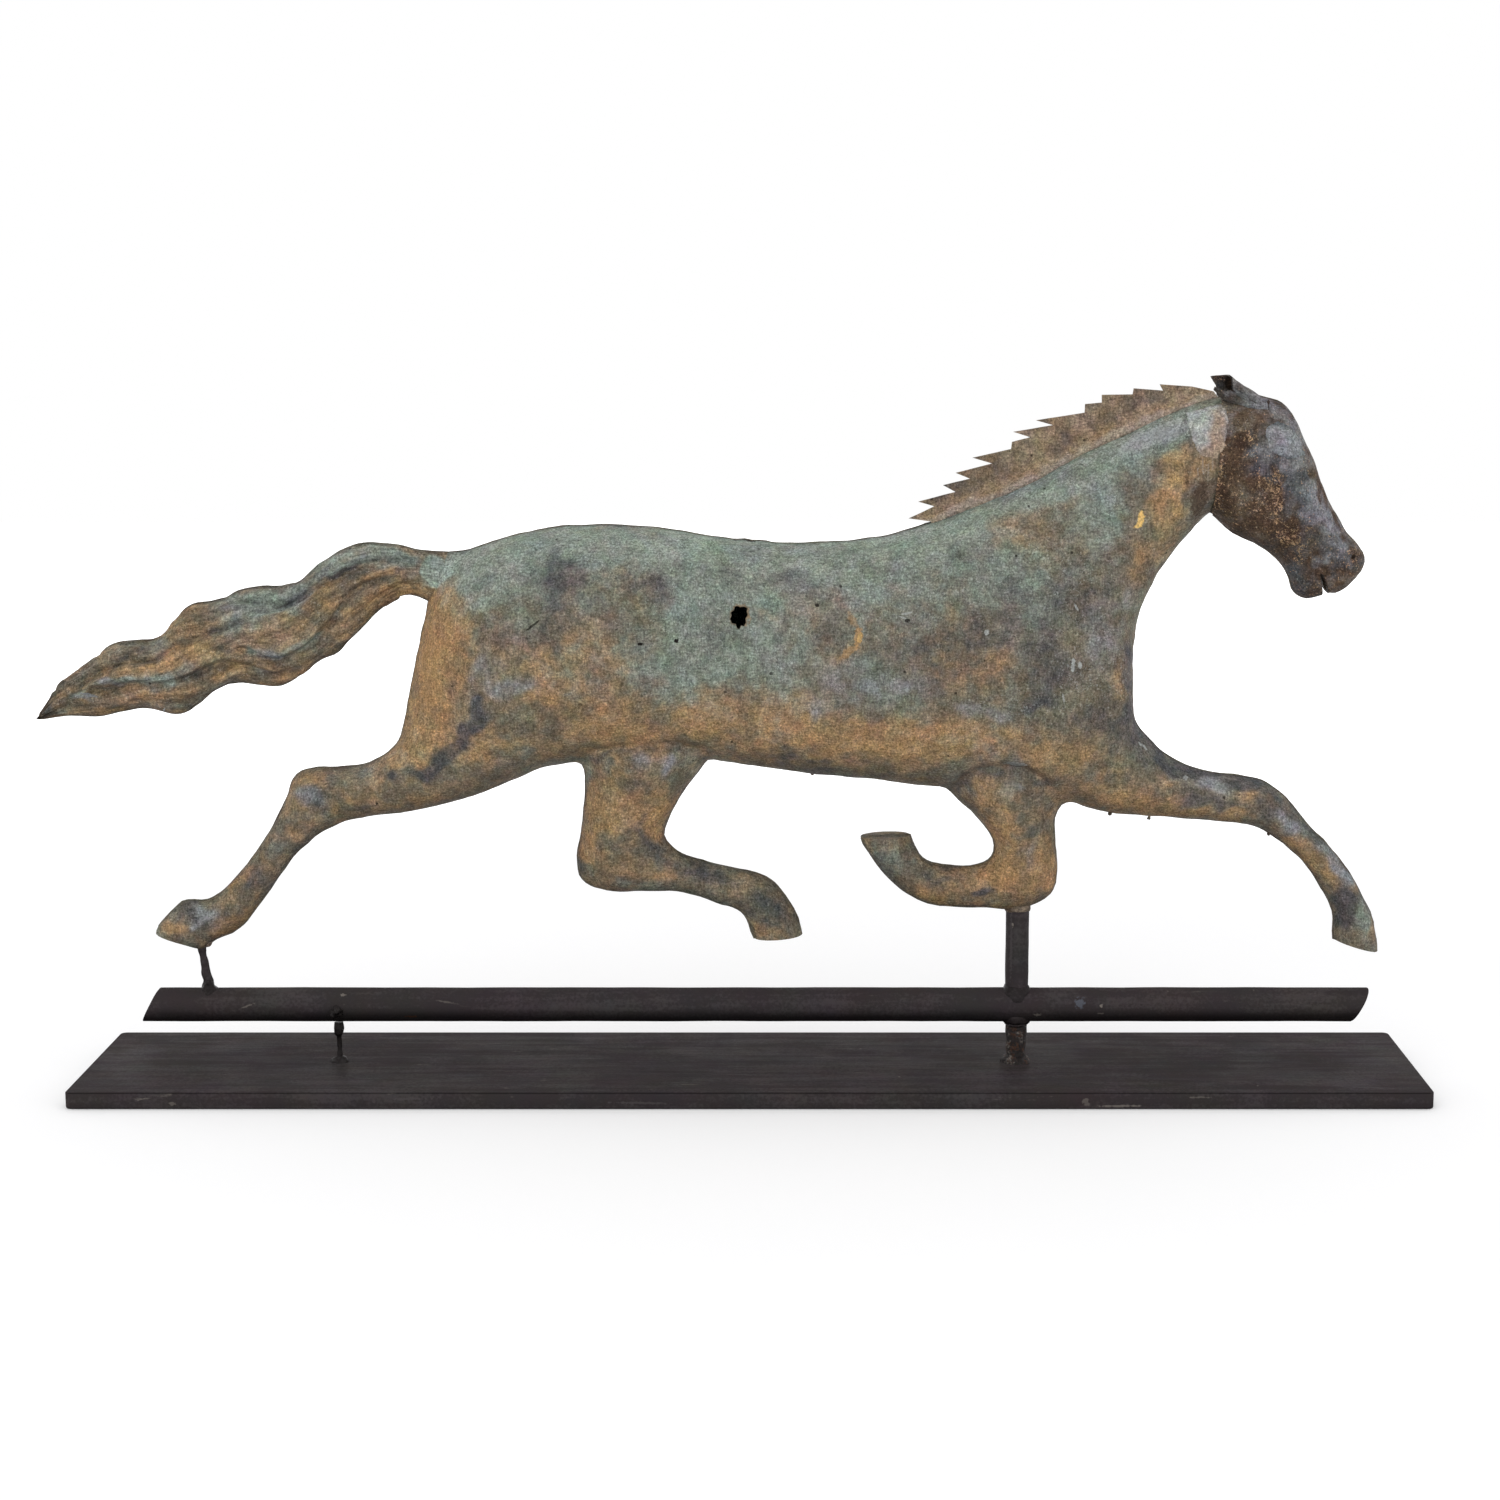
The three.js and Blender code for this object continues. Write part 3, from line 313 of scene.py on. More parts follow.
def between(rows, steps):
    """Smooth rows of numbers through the given ones, `steps` from each to the next."""
    rows = np.array(rows, float)
    padded = np.vstack((2 * rows[0] - rows[1], rows, 2 * rows[-1] - rows[-2]))
    result = []
    for a, b, c, d in zip(padded, padded[1:], padded[2:], padded[3:]):
        for t in np.linspace(0, 1, steps, endpoint=False):
            result.append(b + 0.5 * t * (c - a + t * (2 * a - 5 * b + 4 * c - d + t * (3 * (b - c) + d - a))))
    result.append(rows[-1])
    return result


def ring_edges(*rings):
    """The edges of closed rings of points. A dict keeps them in the same order in every run."""
    return list(dict.fromkeys(edge for ring in rings for vert in ring for edge in vert.link_edges
                              if edge.other_vert(vert) in ring))


def loft(bm, edge_pixels, half_widths, sides, roundness, steps):
    """A closed form through the cross-sections between two rows of outline pixels."""
    table = []
    for (x1, y1, x2, y2), width in zip(edge_pixels, half_widths):
        high = seam_point(x1, y1)
        low = seam_point(x2, y2)
        table.append((high.x, high.z, low.x, low.z, width))
    loft_places(bm, table, sides, roundness, steps)


def loft_places(bm, table, sides, roundness, steps):
    """The same from places in metres: x, z, x, z and half width."""
    rings = []
    for high_x, high_z, low_x, low_z, width in between(table, steps):
        ring = bmesh.ops.create_circle(bm, segments=sides, radius=1.0)["verts"]
        for vert in ring:
            for axis in (0, 1):
                vert.co[axis] = math.copysign(abs(vert.co[axis]) ** (2 / roundness), vert.co[axis])
        matrix = Matrix((
            ((high_x - low_x) / 2, 0, 0, (high_x + low_x) / 2),
            (0, max(width, sizes().copper_wall), 0, 0),
            ((high_z - low_z) / 2, 0, 1, (high_z + low_z) / 2),
            (0, 0, 0, 1),
        ))
        bmesh.ops.transform(bm, matrix=matrix, verts=ring)
        rings.append(ring)
    for near, far in zip(rings, rings[1:]):
        bmesh.ops.bridge_loops(bm, edges=ring_edges(near, far))
    for ring in (rings[0], rings[-1]):
        bmesh.ops.contextual_create(bm, geom=ring_edges(ring))
    bmesh.ops.recalc_face_normals(bm, faces=bm.faces[:])


def linked(name, data):
    thing = bpy.data.objects.new(name, data)
    bpy.context.scene.collection.objects.link(thing)
    return thing


def baked(carrier, name):
    """The final mesh of an object, which is then removed."""
    mesh = bpy.data.meshes.new_from_object(carrier.evaluated_get(bpy.context.evaluated_depsgraph_get()))
    mesh.name = name
    bpy.data.objects.remove(carrier)
    return mesh


def bm_of(mesh):
    bm = bmesh.new()
    bm.from_mesh(mesh)
    return bm


def mesh_of(bm, name):
    mesh = bpy.data.meshes.new(name)
    bm.to_mesh(mesh)
    bm.free()
    return mesh


def with_modifiers(mesh, *modifiers):
    """The mesh with modifiers applied, each given as a kind and its settings."""
    carrier = linked(mesh.name, mesh)
    for kind, settings in modifiers:
        modifier = carrier.modifiers.new(kind.title(), kind)
        for key, value in settings.items():
            setattr(modifier, key, value)
    return baked(carrier, mesh.name)


def walled(thickness, offset=-1.0, **more):
    return "SOLIDIFY", {"thickness": thickness, "offset": offset, **more}


def less(cutter):
    return "BOOLEAN", {"operation": "DIFFERENCE", "solver": "EXACT", "object": cutter}


def skinned(mesh, step):
    """One even skin round everything that the mesh holds."""
    return with_modifiers(mesh, ("REMESH", {"mode": "VOXEL", "voxel_size": step, "adaptivity": 0.0}))


def soft_shaded(mesh, degrees=42):
    mesh.shade_smooth()
    mesh.set_sharp_from_angle(angle=math.radians(degrees))
    return mesh


# Relief: moves of the points along the surface's own direction


def polyline_distance(seen, line):
    """How far each pixel is from a line, and how far along it, from 0 to 1."""
    line = np.array(line, float)
    steps = np.linalg.norm(np.diff(line, axis=0), axis=1)
    starts = np.concatenate(([0], np.cumsum(steps)))
    nearest = np.full(len(seen), np.inf)
    along = np.zeros(len(seen))
    for a, b, step, start in zip(line, line[1:], steps, starts):
        t = np.clip(((seen - a) @ (b - a)) / step ** 2, 0, 1)
        distance = np.linalg.norm(seen - a - t[:, None] * (b - a), axis=1)
        closer = distance < nearest
        nearest[closer] = distance[closer]
        along[closer] = (start + t[closer] * step) / starts[-1]
    return nearest, along


def near_line(seen, line, width, fade=0.0):
    """1 on the line, down to 0 beside it. It fades towards its ends over the share `fade`."""
    distance, along = polyline_distance(seen, line)
    result = np.exp(-(distance / width) ** 2)
    if fade:
        result *= np.clip(np.minimum(along, 1 - along) / fade, 0, 1)
    return result


def near_spot(seen, x, y, reach_x, reach_y, tilt=0.0):
    """1 in the middle of an oval, down to 0 outside it."""
    turn = math.radians(tilt)
    dx, dy = (seen - (x, y)).T
    u = (dx * math.cos(turn) + dy * math.sin(turn)) / reach_x
    v = (dy * math.cos(turn) - dx * math.sin(turn)) / reach_y
    return np.exp(-(u * u + v * v))


def wander(places, size, seed):
    """Smooth noise, about -0.5 to 0.5, with lumps of one size."""
    return np.array([noise.noise(Vector(place) / size + Vector((seed, seed, seed))) for place in places])


class Relief:
    """The points of a mesh, with where the picture shows them."""

    def __init__(self, mesh):
        self.mesh = mesh
        count = len(mesh.vertices)
        places = np.empty(count * 3)
        mesh.vertices.foreach_get("co", places)
        self.places = places.reshape(-1, 3)
        pairs = np.empty(len(mesh.edges) * 2, int)
        mesh.edges.foreach_get("vertices", pairs)
        self.pairs = pairs.reshape(-1, 2)
        self.refresh()

    def refresh(self):
        self.mesh.vertices.foreach_set("co", self.places.ravel())
        self.mesh.update()
        normals = np.empty(self.places.size)
        self.mesh.vertex_normals.foreach_get("vector", normals)
        self.normals = normals.reshape(-1, 3)
        self.seen = picture_of(self.places)

    def soften(self, times, share=1.0):
        a, b = self.pairs.T
        count = len(self.places)
        links = np.bincount(a, minlength=count) + np.bincount(b, minlength=count)
        share = np.broadcast_to(share, count)[:, None]
        for _ in range(times):
            sums = np.column_stack([
                np.bincount(a, self.places[b, axis], count) + np.bincount(b, self.places[a, axis], count)
                for axis in range(3)
            ])
            self.places += share * (sums / links[:, None] - self.places)
        self.refresh()

    def push(self, amount):
        self.places += self.normals * amount[:, None]
        self.refresh()

    def keep(self, name, values):
        """Leaves a mask on the mesh for its finish."""
        attribute = self.mesh.attributes.new(name, "FLOAT", "POINT")
        attribute.data.foreach_set("value", np.clip(values, 0, 1).astype(np.float32))

    def keep_vector(self, name, values):
        attribute = self.mesh.attributes.new(name, "FLOAT_VECTOR", "POINT")
        attribute.data.foreach_set("vector", values.astype(np.float32).ravel())


def sum_of(seen, spots=(), lines=()):
    """Spots as (x, y, reach x, reach y, amount, any tilt) and lines as (points, width, amount)."""
    total = np.zeros(len(seen))
    for x, y, reach_x, reach_y, amount, *tilt in spots:
        total += amount * near_spot(seen, x, y, reach_x, reach_y, *tilt)
    for line, width, amount in lines:
        total += amount * near_line(seen, line, width)
    return total


# Half shells, and the solder between them


def half_of(skin, side):
    """The part of a closed skin on one side of the seam: -1 is the right side."""
    bm = bm_of(skin)
    bmesh.ops.bisect_plane(bm, geom=bm.verts[:] + bm.edges[:] + bm.faces[:], plane_co=(0, 0, 0),
                           plane_no=(0, -side, 0), clear_outer=True)
    return bm


def rims(bm):
    """The open rims of a half, each as its points in order."""
    left = dict.fromkeys(edge for edge in bm.edges if edge.is_boundary)
    loops = []
    while left:
        edge, _ = left.popitem()
        points = [edge.verts[0], edge.verts[1]]
        while True:
            onward = next((e for e in points[-1].link_edges if e in left), None)
            if onward is None:
                break
            del left[onward]
            points.append(onward.other_vert(points[-1]))
        loops.append([vert.co.copy() for vert in points])
    return loops


def in_seam(points):
    """What a rim has in the seam plane, in order."""
    off = next((number for number, point in enumerate(points) if abs(point.y) > 1e-4), 0)
    return [point for point in points[off:] + points[:off] if abs(point.y) < 1e-4]


def tube_mesh(name, paths, radius, seed, closed=True, spacing=0.0025, swing=0.35):
    """Thin uneven beads along paths."""
    curve = bpy.data.curves.new(name, "CURVE")
    curve.dimensions = "3D"
    curve.bevel_depth = radius
    curve.bevel_resolution = 1
    curve.use_fill_caps = True
    for path in paths:
        points = [path[0]]
        for point in path[1:]:
            if (point - points[-1]).length > spacing:
                points.append(point)
        if len(points) < 4:
            continue
        spline = curve.splines.new("POLY")
        spline.points.add(len(points) - 1)
        spline.use_cyclic_u = closed and (points[-1] - points[0]).length < 4 * spacing
        for slot, point in zip(spline.points, points):
            slot.co = (*point, 1)
            slot.radius = 1 + swing * 2 * noise.noise(point / (4 * spacing) + Vector((seed, 0, 0)))
    return soft_shaded(baked(linked(name, curve), name), 60)


def add_piece(name, mesh, body, slot, finish, *replaced):
    piece = linked(name, mesh)
    mesh.materials.clear()
    mesh.materials.append(finish)
    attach(piece, body)
    if replaced:
        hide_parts(*replaced)
    return piece


def add_halves(name, skin, slot, finish, cutter, *forms):
    """Both half shells of a skin with their wall, and the bead of solder along their seam."""
    for side, side_name in ((-1, "right"), (1, "left")):
        bm = half_of(skin, side)
        seams = [in_seam(points) for points in rims(bm)]
        modifiers = [walled(sizes().copper_wall, use_quality_normals=True)]
        if cutter and side < 0:
            modifiers.append(less(cutter))
        half = with_modifiers(mesh_of(bm, f"{name}_{side_name}_half"), *modifiers)
        replaced = [f"{form}_{side_name}_shell" for form in forms]
        add_piece(f"{name}_{side_name}_half", soft_shaded(half), "vane", slot, finish, *replaced)
    bead = tube_mesh(f"{name}_seam_bead", seams, sizes().seam_bead, len(name))
    add_piece(f"{name}_seam_bead", bead, "vane", slot, finish_named("seam_solder"))


# Finishes


class Nodes:
    """Puts a node tree together step by step."""

    def __init__(self, tree):
        self.tree = tree

    def node(self, kind, inputs=None, **settings):
        node = self.tree.nodes.new(kind)
        for key, value in settings.items():
            setattr(node, key, value)
        self.feed(node, inputs or {})
        return node

    def feed(self, node, inputs):
        """Links or sets a node's inputs, given by name or number."""
        for key, value in inputs.items():
            socket = node.inputs[key]
            if isinstance(value, bpy.types.NodeSocket):
                self.tree.links.new(value, socket)
            elif hasattr(socket.default_value, "__len__") and len(socket.default_value) == 4:
                socket.default_value = (*value, 1.0)
            else:
                socket.default_value = value

    def maths(self, operation, *values):
        return self.node("ShaderNodeMath", dict(enumerate(values)), operation=operation).outputs[0]


class Finish(Nodes):
    """A procedural material."""

    def __init__(self, name):
        self.material = bpy.data.materials.new(f"{name}_finish")
        self.material.use_nodes = True
        super().__init__(self.material.node_tree)
        self.shader = self.tree.nodes["Principled BSDF"]

    def sum(self, first, second, share=1.0):
        """first + share * second"""
        return self.maths("MULTIPLY_ADD", second, share, first)

    def product(self, first, second):
        return self.maths("MULTIPLY", first, second)

    def mean(self, first, *others):
        share = 1 / (1 + len(others))
        total = self.product(first, share)
        for other in others:
            total = self.sum(total, other, share)
        return total

    def window(self, value, low, high, to_low=0.0, to_high=1.0):
        """A smooth step from `low` to `high`."""
        inputs = {"Value": value, "From Min": low, "From Max": high, "To Min": to_low, "To Max": to_high}
        return self.node("ShaderNodeMapRange", inputs, interpolation_type="SMOOTHSTEP").outputs["Result"]

    def mask(self, name, output="Fac"):
        return self.node("ShaderNodeAttribute", attribute_name=name).outputs[output]

    def coordinates(self, kind="Object"):
        return self.node("ShaderNodeTexCoord").outputs[kind]

    def axes(self, vector):
        return self.node("ShaderNodeSeparateXYZ", {0: vector}).outputs

    def place(self, stretch=(1, 1, 1), shift=(0, 0, 0), along=None):
        """Object coordinates, or the coordinates that the mesh keeps under the name `along`."""
        source = self.mask(along, "Vector") if along else self.coordinates()
        inputs = {"Vector": source, "Scale": stretch, "Location": shift}
        return self.node("ShaderNodeMapping", inputs).outputs["Vector"]

    def texture(self, size, detail, roughness, placing):
        inputs = {"Vector": self.place(**placing), "Scale": 1 / size, "Detail": detail, "Roughness": roughness}
        return self.node("ShaderNodeTexNoise", inputs).outputs["Color"]

    def lumps(self, size, detail=4.0, roughness=0.6, low=0.34, high=0.66, **placing):
        """Three unlike noises from 0 to 1 with lumps of one size."""
        parts = self.node("ShaderNodeSeparateColor", {0: self.texture(size, detail, roughness, placing)})
        return [self.window(part, low, high) for part in parts.outputs]

    def cells(self, size):
        """Distance from the nearest of scattered points, in shares of `size`, and its own random colour."""
        texture = self.node("ShaderNodeTexVoronoi", {"Vector": self.place(), "Scale": 1 / size})
        return texture.outputs["Distance"], texture.outputs["Color"]

    def mark(self, x, y, reach, long, wide, tilt):
        """1 inside one small oval on the right side, given in picture pixels, and 0 outside it."""
        middle = seam_point(x, y, reach)
        pixel = (seam_point(x + 1, y, reach) - middle).length
        oval = self.node("ShaderNodeMapping", {
            "Vector": self.coordinates(), "Location": middle, "Rotation": (0, math.radians(tilt), 0),
            "Scale": (long * pixel, MARK_DEPTH, wide * pixel),
        }, vector_type="TEXTURE").outputs["Vector"]
        return self.node("ShaderNodeTexGradient", {"Vector": oval}, gradient_type="SPHERICAL").outputs["Fac"]

    def mix(self, share, under, over):
        return self.node("ShaderNodeMix", {"Factor": share, 6: under, 7: over}, data_type="RGBA").outputs[2]

    def vector_maths(self, operation, inputs, output=0):
        return self.node("ShaderNodeVectorMath", inputs, operation=operation).outputs[output]

    def tinted(self, ground, size, share):
        """The ground with its red, green and blue each pushed up or down a little."""
        push = self.vector_maths("MULTIPLY_ADD", {
            0: self.texture(size, 4.0, 0.65, {"shift": (6, 2, 5)}), 1: (share,) * 3, 2: (1 - share / 2,) * 3,
        })
        return self.vector_maths("MULTIPLY", {0: ground, 1: push})

    def shaded(self, ground, value, low, high):
        """The ground made darker or lighter, from `low` to `high` times as bright."""
        return self.vector_maths("SCALE", {0: ground, "Scale": self.window(value, 0.0, 1.0, low, high)})

    def bump(self, height, distance):
        inputs = {"Strength": 1.0, "Distance": distance, "Height": height}
        return self.node("ShaderNodeBump", inputs).outputs["Normal"]

    def finish(self, colour, roughness, metallic, normal, specular=0.5):
        self.feed(self.shader, {"Base Color": colour, "Roughness": roughness, "Metallic": metallic,
                                "Normal": normal, "Specular IOR Level": specular})
        return self.material


def patina(name, ground, layers=(), marks=(), fine=0.0011, along=None, bump=0.0005, grime_and_shade=0.009):
    """Layers of stain over a ground of two colours. Some masks also carry painted shade or painted highlights.

    Each layer is the mask that lays it out, its dull and its bright colour, how far noise breaks
    its border up, the two levels between which it covers, and whether it lies as fine specks.
    Painted shade darkens the undersides. Painted shade, with a little dirt, darkens what lies near the
    seam plane, within the reach that the last argument gives.
    """
    colours = bpy.context.scene.copper_colours
    f = Finish(name)
    clouds = f.lumps(0.024, detail=3)
    patches = f.lumps(0.0085, detail=1.6, roughness=0.5, shift=(3, 1, 2))
    grains = f.lumps(0.0026, detail=4, roughness=0.70, shift=(1, 5, 2))
    dust = f.lumps(fine, detail=3, roughness=0.75, shift=(4, 4, 9))
    surface = f.mix(f.mean(clouds[0], patches[0]), *(getattr(colours, tone) for tone in ground))
    for number, (mask, dull, bright, swing, low, high, *specks) in enumerate(layers):
        first, second, third = number % 3, (number + 1) % 3, (number + 2) % 3
        if specks:
            broken = f.mean(grains[third], dust[second], dust[first])
        else:
            broken = f.mean(clouds[first], patches[second])
        share = f.window(f.sum(f.mask(mask), f.sum(broken, -0.5), swing), low, high)
        tones = getattr(colours, dull), getattr(colours, bright)
        surface = f.mix(share, surface, f.mix(f.mean(patches[third], clouds[second]), *tones))
    surface = f.tinted(surface, 0.0060, 0.20)
    surface = f.tinted(surface, 0.0170, 0.34)
    upright = f.lumps(0.0010, detail=3, stretch=(1, 1, 0.22))
    level = f.lumps(0.0011, detail=3, stretch=(0.25, 1, 1), shift=(2, 2, 7))
    surface = f.shaded(surface, f.mean(upright[0], level[0], dust[2]), 0.61, 1.43)
    surface = f.shaded(surface, f.mean(grains[0], patches[1]), 0.90, 1.13)
    if along:
        strands = f.lumps(0.0016, detail=4, roughness=0.6, along=along)
        surface = f.shaded(surface, strands[0], 0.78, 1.24)
    for x, y, reach, long, wide, tilt, tone, share in marks:
        edge = f.sum(f.mark(x, y, reach, 1.08 * long, 1.08 * wide, tilt), f.sum(grains[0], -1.0), 0.35)
        surface = f.mix(f.window(edge, 0.0, 0.24, 0.0, share), surface, getattr(colours, tone))
    surface = f.shaded(surface, dust[0], 0.78, 1.26)
    surface = f.shaded(surface, f.window(f.mean(dust[1], grains[1]), 0.10, 0.40), 0.66, 1.0)
    specks = f.mean(dust[2], grains[2])
    surface = f.shaded(surface, f.window(specks, 0.66, 1.0), 1.0, 1.42)
    # Pale specks in silver; the pale mask also lays painted highlights on the hock and the hoof.
    bright = f.window(f.sum(specks, f.mask("pale"), 0.20), 0.86, 1.12, 0.0, 0.42)
    surface = f.mix(bright, surface, colours.silver)
    distance, own = f.cells(0.013)
    pits = f.product(f.window(distance, 0.080, 0.045), f.window(own, 0.60, 0.64))
    surface = f.mix(f.product(pits, 0.8), surface, colours.pit)
    # Painted shade: darker near the seam plane, where the sides turn away at the outline, with a little dirt
    # there too; then darker on faces that point down.
    if grime_and_shade:
        off = f.sum(f.maths("ABSOLUTE", f.axes(f.place())["Y"]), f.sum(grains[1], -0.5), grime_and_shade * 0.4)
        surface = f.shaded(surface, f.window(off, 0.0, grime_and_shade), 0.48, 1.0)
        surface = f.shaded(surface, f.window(f.axes(f.coordinates("Normal"))["Z"], -1.0, -0.25), 0.66, 1.0)
    height = f.sum(f.sum(f.mean(grains[0], dust[0]), patches[1], 0.5), pits, -1.0)
    if along:
        height = f.sum(height, strands[1], 0.8)
    rough = f.window(f.mean(patches[2], grains[2]), 0.0, 1.0, 0.55, 0.82)
    return f.finish(surface, rough, 0.04, f.bump(height, bump), specular=0.14)


# Leaf, bruises, scratches and pin holes on the right side, and a few painted highlights on lit ridges: x, y,
# how far the copper stands out there, half length and half width in pixels, tilt in degrees, colour and
# strength
COPPER_MARKS = [
    (1140.6, 518.5, 0.022, 10, 4.4, 97, "flake", 1), (1137.4, 525.5, 0.022, 5.5, 3.4, 160, "flake", 0.9),
    (853, 621, 0.04, 12, 5, 60, "gold", 0.35), (858.5, 637, 0.04, 13, 5.6, 95, "gold", 0.75),
    (849, 652, 0.04, 13, 5.4, -38, "gold", 0.55), (859.5, 638, 0.04, 8, 3.4, 95, "flake", 0.45),
    (741, 616, 0.039, 12, 15, 0, "tan", 0.75), (745, 538.5, 0, 13, 1.8, 15, "pit", 0.9),
    (1199, 500, 0.018, 24, 11, 100, "umber", 0.7), (1150, 438.5, 0.01, 50, 11, -24, "silver", 0.3),
    (427, 668, 0.02, 17, 60, -4, "gold", 0.4), (1186, 480, 0.018, 9, 3, 80, "umber", 0.6),
    (1203, 466, 0.022, 10, 1.1, 88, "crest", 0.75), (1208.5, 472, 0.022, 12, 1.2, 93, "crest", 0.75),
    (1213, 464, 0.022, 10, 1.1, 90, "crest", 0.7), (1198, 472, 0.022, 7, 1, 80, "crest", 0.6),
    (1072.5, 664, 0.032, 9.5, 2.8, 96, "silver", 0.85), (1079.5, 664, 0.032, 5.5, 2.3, 80, "silver", 0.8),
    (987, 632, 0.038, 4, 3.2, 110, "silver", 0.75), (1075.5, 606, 0.031, 5.5, 1.6, 62, "silver", 0.7),
    (1063, 698, 0.033, 7, 1.8, 80, "silver", 0.55), (1146, 749, 0.02, 6.5, 1.8, 50, "silver", 0.7),
    (1141, 745, 0.02, 4.5, 1.5, 55, "silver", 0.6), (1186, 778.5, 0.015, 3.6, 3.2, 0, "silver", 0.5),
    (907, 614, 0.04, 9, 1.3, -12, "silver", 0.6), (903, 618, 0.04, 6, 1.2, 18, "silver", 0.5),
    (532, 626, 0.038, 12, 1.5, -37, "pit", 0.85), (640, 644, 0.039, 3.6, 2.4, 0, "pit", 1),
    (676.5, 641, 0.038, 2.8, 2.4, 0, "pit", 1), (817.5, 606, 0.04, 3.4, 3, 0, "pit", 0.9),
    (840.5, 588, 0.039, 2.8, 2.4, 0, "pit", 0.8), (907.5, 621, 0.04, 3.2, 2.6, 0, "pit", 0.9),
    (771, 674, 0.038, 2.4, 2.2, 0, "pit", 0.7), (961, 555, 0.034, 8, 6.5, 0, "pit", 0.5),
    (580, 705, 0.038, 3, 2, 0, "pit", 0.6), (725, 692, 0.038, 2.4, 2, 0, "pit", 0.6),
    # Painted highlight: the streak at 1016, 764 is the lit ridge above the folded leg's crease.
    (1016, 764, 0.028, 15, 2.6, 4, "silver", 0.5), (162.6, 711, 0.008, 5, 1.2, -50, "silver", 0.9),
    # Painted highlights: these two streaks lie along lit ridges of the tail's locks.
    (275, 655.5, 0.012, 12, 2.4, 6, "mist", 0.8), (90, 694.5, 0.008, 11, 2.6, 12, "mist", 0.8),
]
MARK_DEPTH = 0.016


COPPER_LAYERS = (
    ("gilt", "tan", "gold", 0.65, 0.1, 1.05), ("green", "verdigris", "moss", 0.6, 0.05, 0.95),
    ("soot", "slate", "plum", 0.6, 0.15, 1.15), ("mist", "mist", "lead", 0.6, 0.15, 1.2),
    ("bloom", "bloom", "moss", 0.4, 0.35, 0.85),
)
PATINAS = {
    # Worn gilding under verdigris and sooty stains, with painted shade in creases and painted highlights on lit
    # ridges
    "copper_patina": {"ground": ("brown", "olive"), "layers": COPPER_LAYERS, "marks": COPPER_MARKS},
    # The same coat, drawn out along the locks
    "tail_patina": {"ground": ("brown", "olive"), "layers": COPPER_LAYERS, "marks": COPPER_MARKS[-3:],
                    "along": "flow", "grime_and_shade": 0.008},
    # Dark brown copper with grey smears and pinkish specks, and painted shade in the nostril, the eye and the
    # ears' mouths and folds
    "head_patina": {"ground": ("umber", "russet"), "fine": 0.001, "bump": 0.0008, "grime_and_shade": 0.006, "layers": (
        ("russet", "russet", "brown", 0.8, 0.25, 1.05), ("plum", "plum", "slate", 0.9, 0.2, 1.0),
        ("slate", "slate", "lead", 0.9, 0.2, 1.2), ("grey", "mist", "lead", 0.7, 0.15, 1.05),
        ("ember", "tan", "ember", 1.6, 0.68, 0.95, "specks"), ("hollow", "pit", "umber", 0.3, 0.35, 0.75))},
    # Brown sheet with purple-grey stains, and a tan wash at its foot
    "mane_patina": {"ground": ("bark", "tan"), "fine": 0.001, "bump": 0.0004, "grime_and_shade": 0.0, "layers": (
        ("tips", "plum", "brown", 1.0, 0.5, 1.6), ("foot", "crest", "crest", 0.5, 0.1, 0.9))},
    # Pale wiped solder, blue-grey at one side and blushed with brown at the other
    "neck_lead": {"ground": ("lead", "silver"), "fine": 0.0012, "bump": 0.0004, "grime_and_shade": 0.0, "layers": (
        ("blush", "bark", "crest", 0.6, 0.15, 0.95), ("border", "brown", "mist", 0.9, 0.7, 1.3))},
    # Darker wiped solder that fades into the brown at its border
    "brow_lead": {"ground": ("mist", "lead"), "fine": 0.0012, "bump": 0.0004, "grime_and_shade": 0.0, "layers": (
        ("blush", "slate", "lead", 1.0, 0.2, 1.05), ("border", "slate", "mist", 0.9, 0.6, 1.4))},
    # Dark solder with a touch of olive, along the seams
    "seam_solder": {"ground": ("umber", "olive"), "bump": 0.0003, "grime_and_shade": 0.0},
    # Pinkish brown solder, lumpy and dull
    "collar_solder": {"ground": ("umber", "crest"), "bump": 0.0006, "grime_and_shade": 0.0},
}


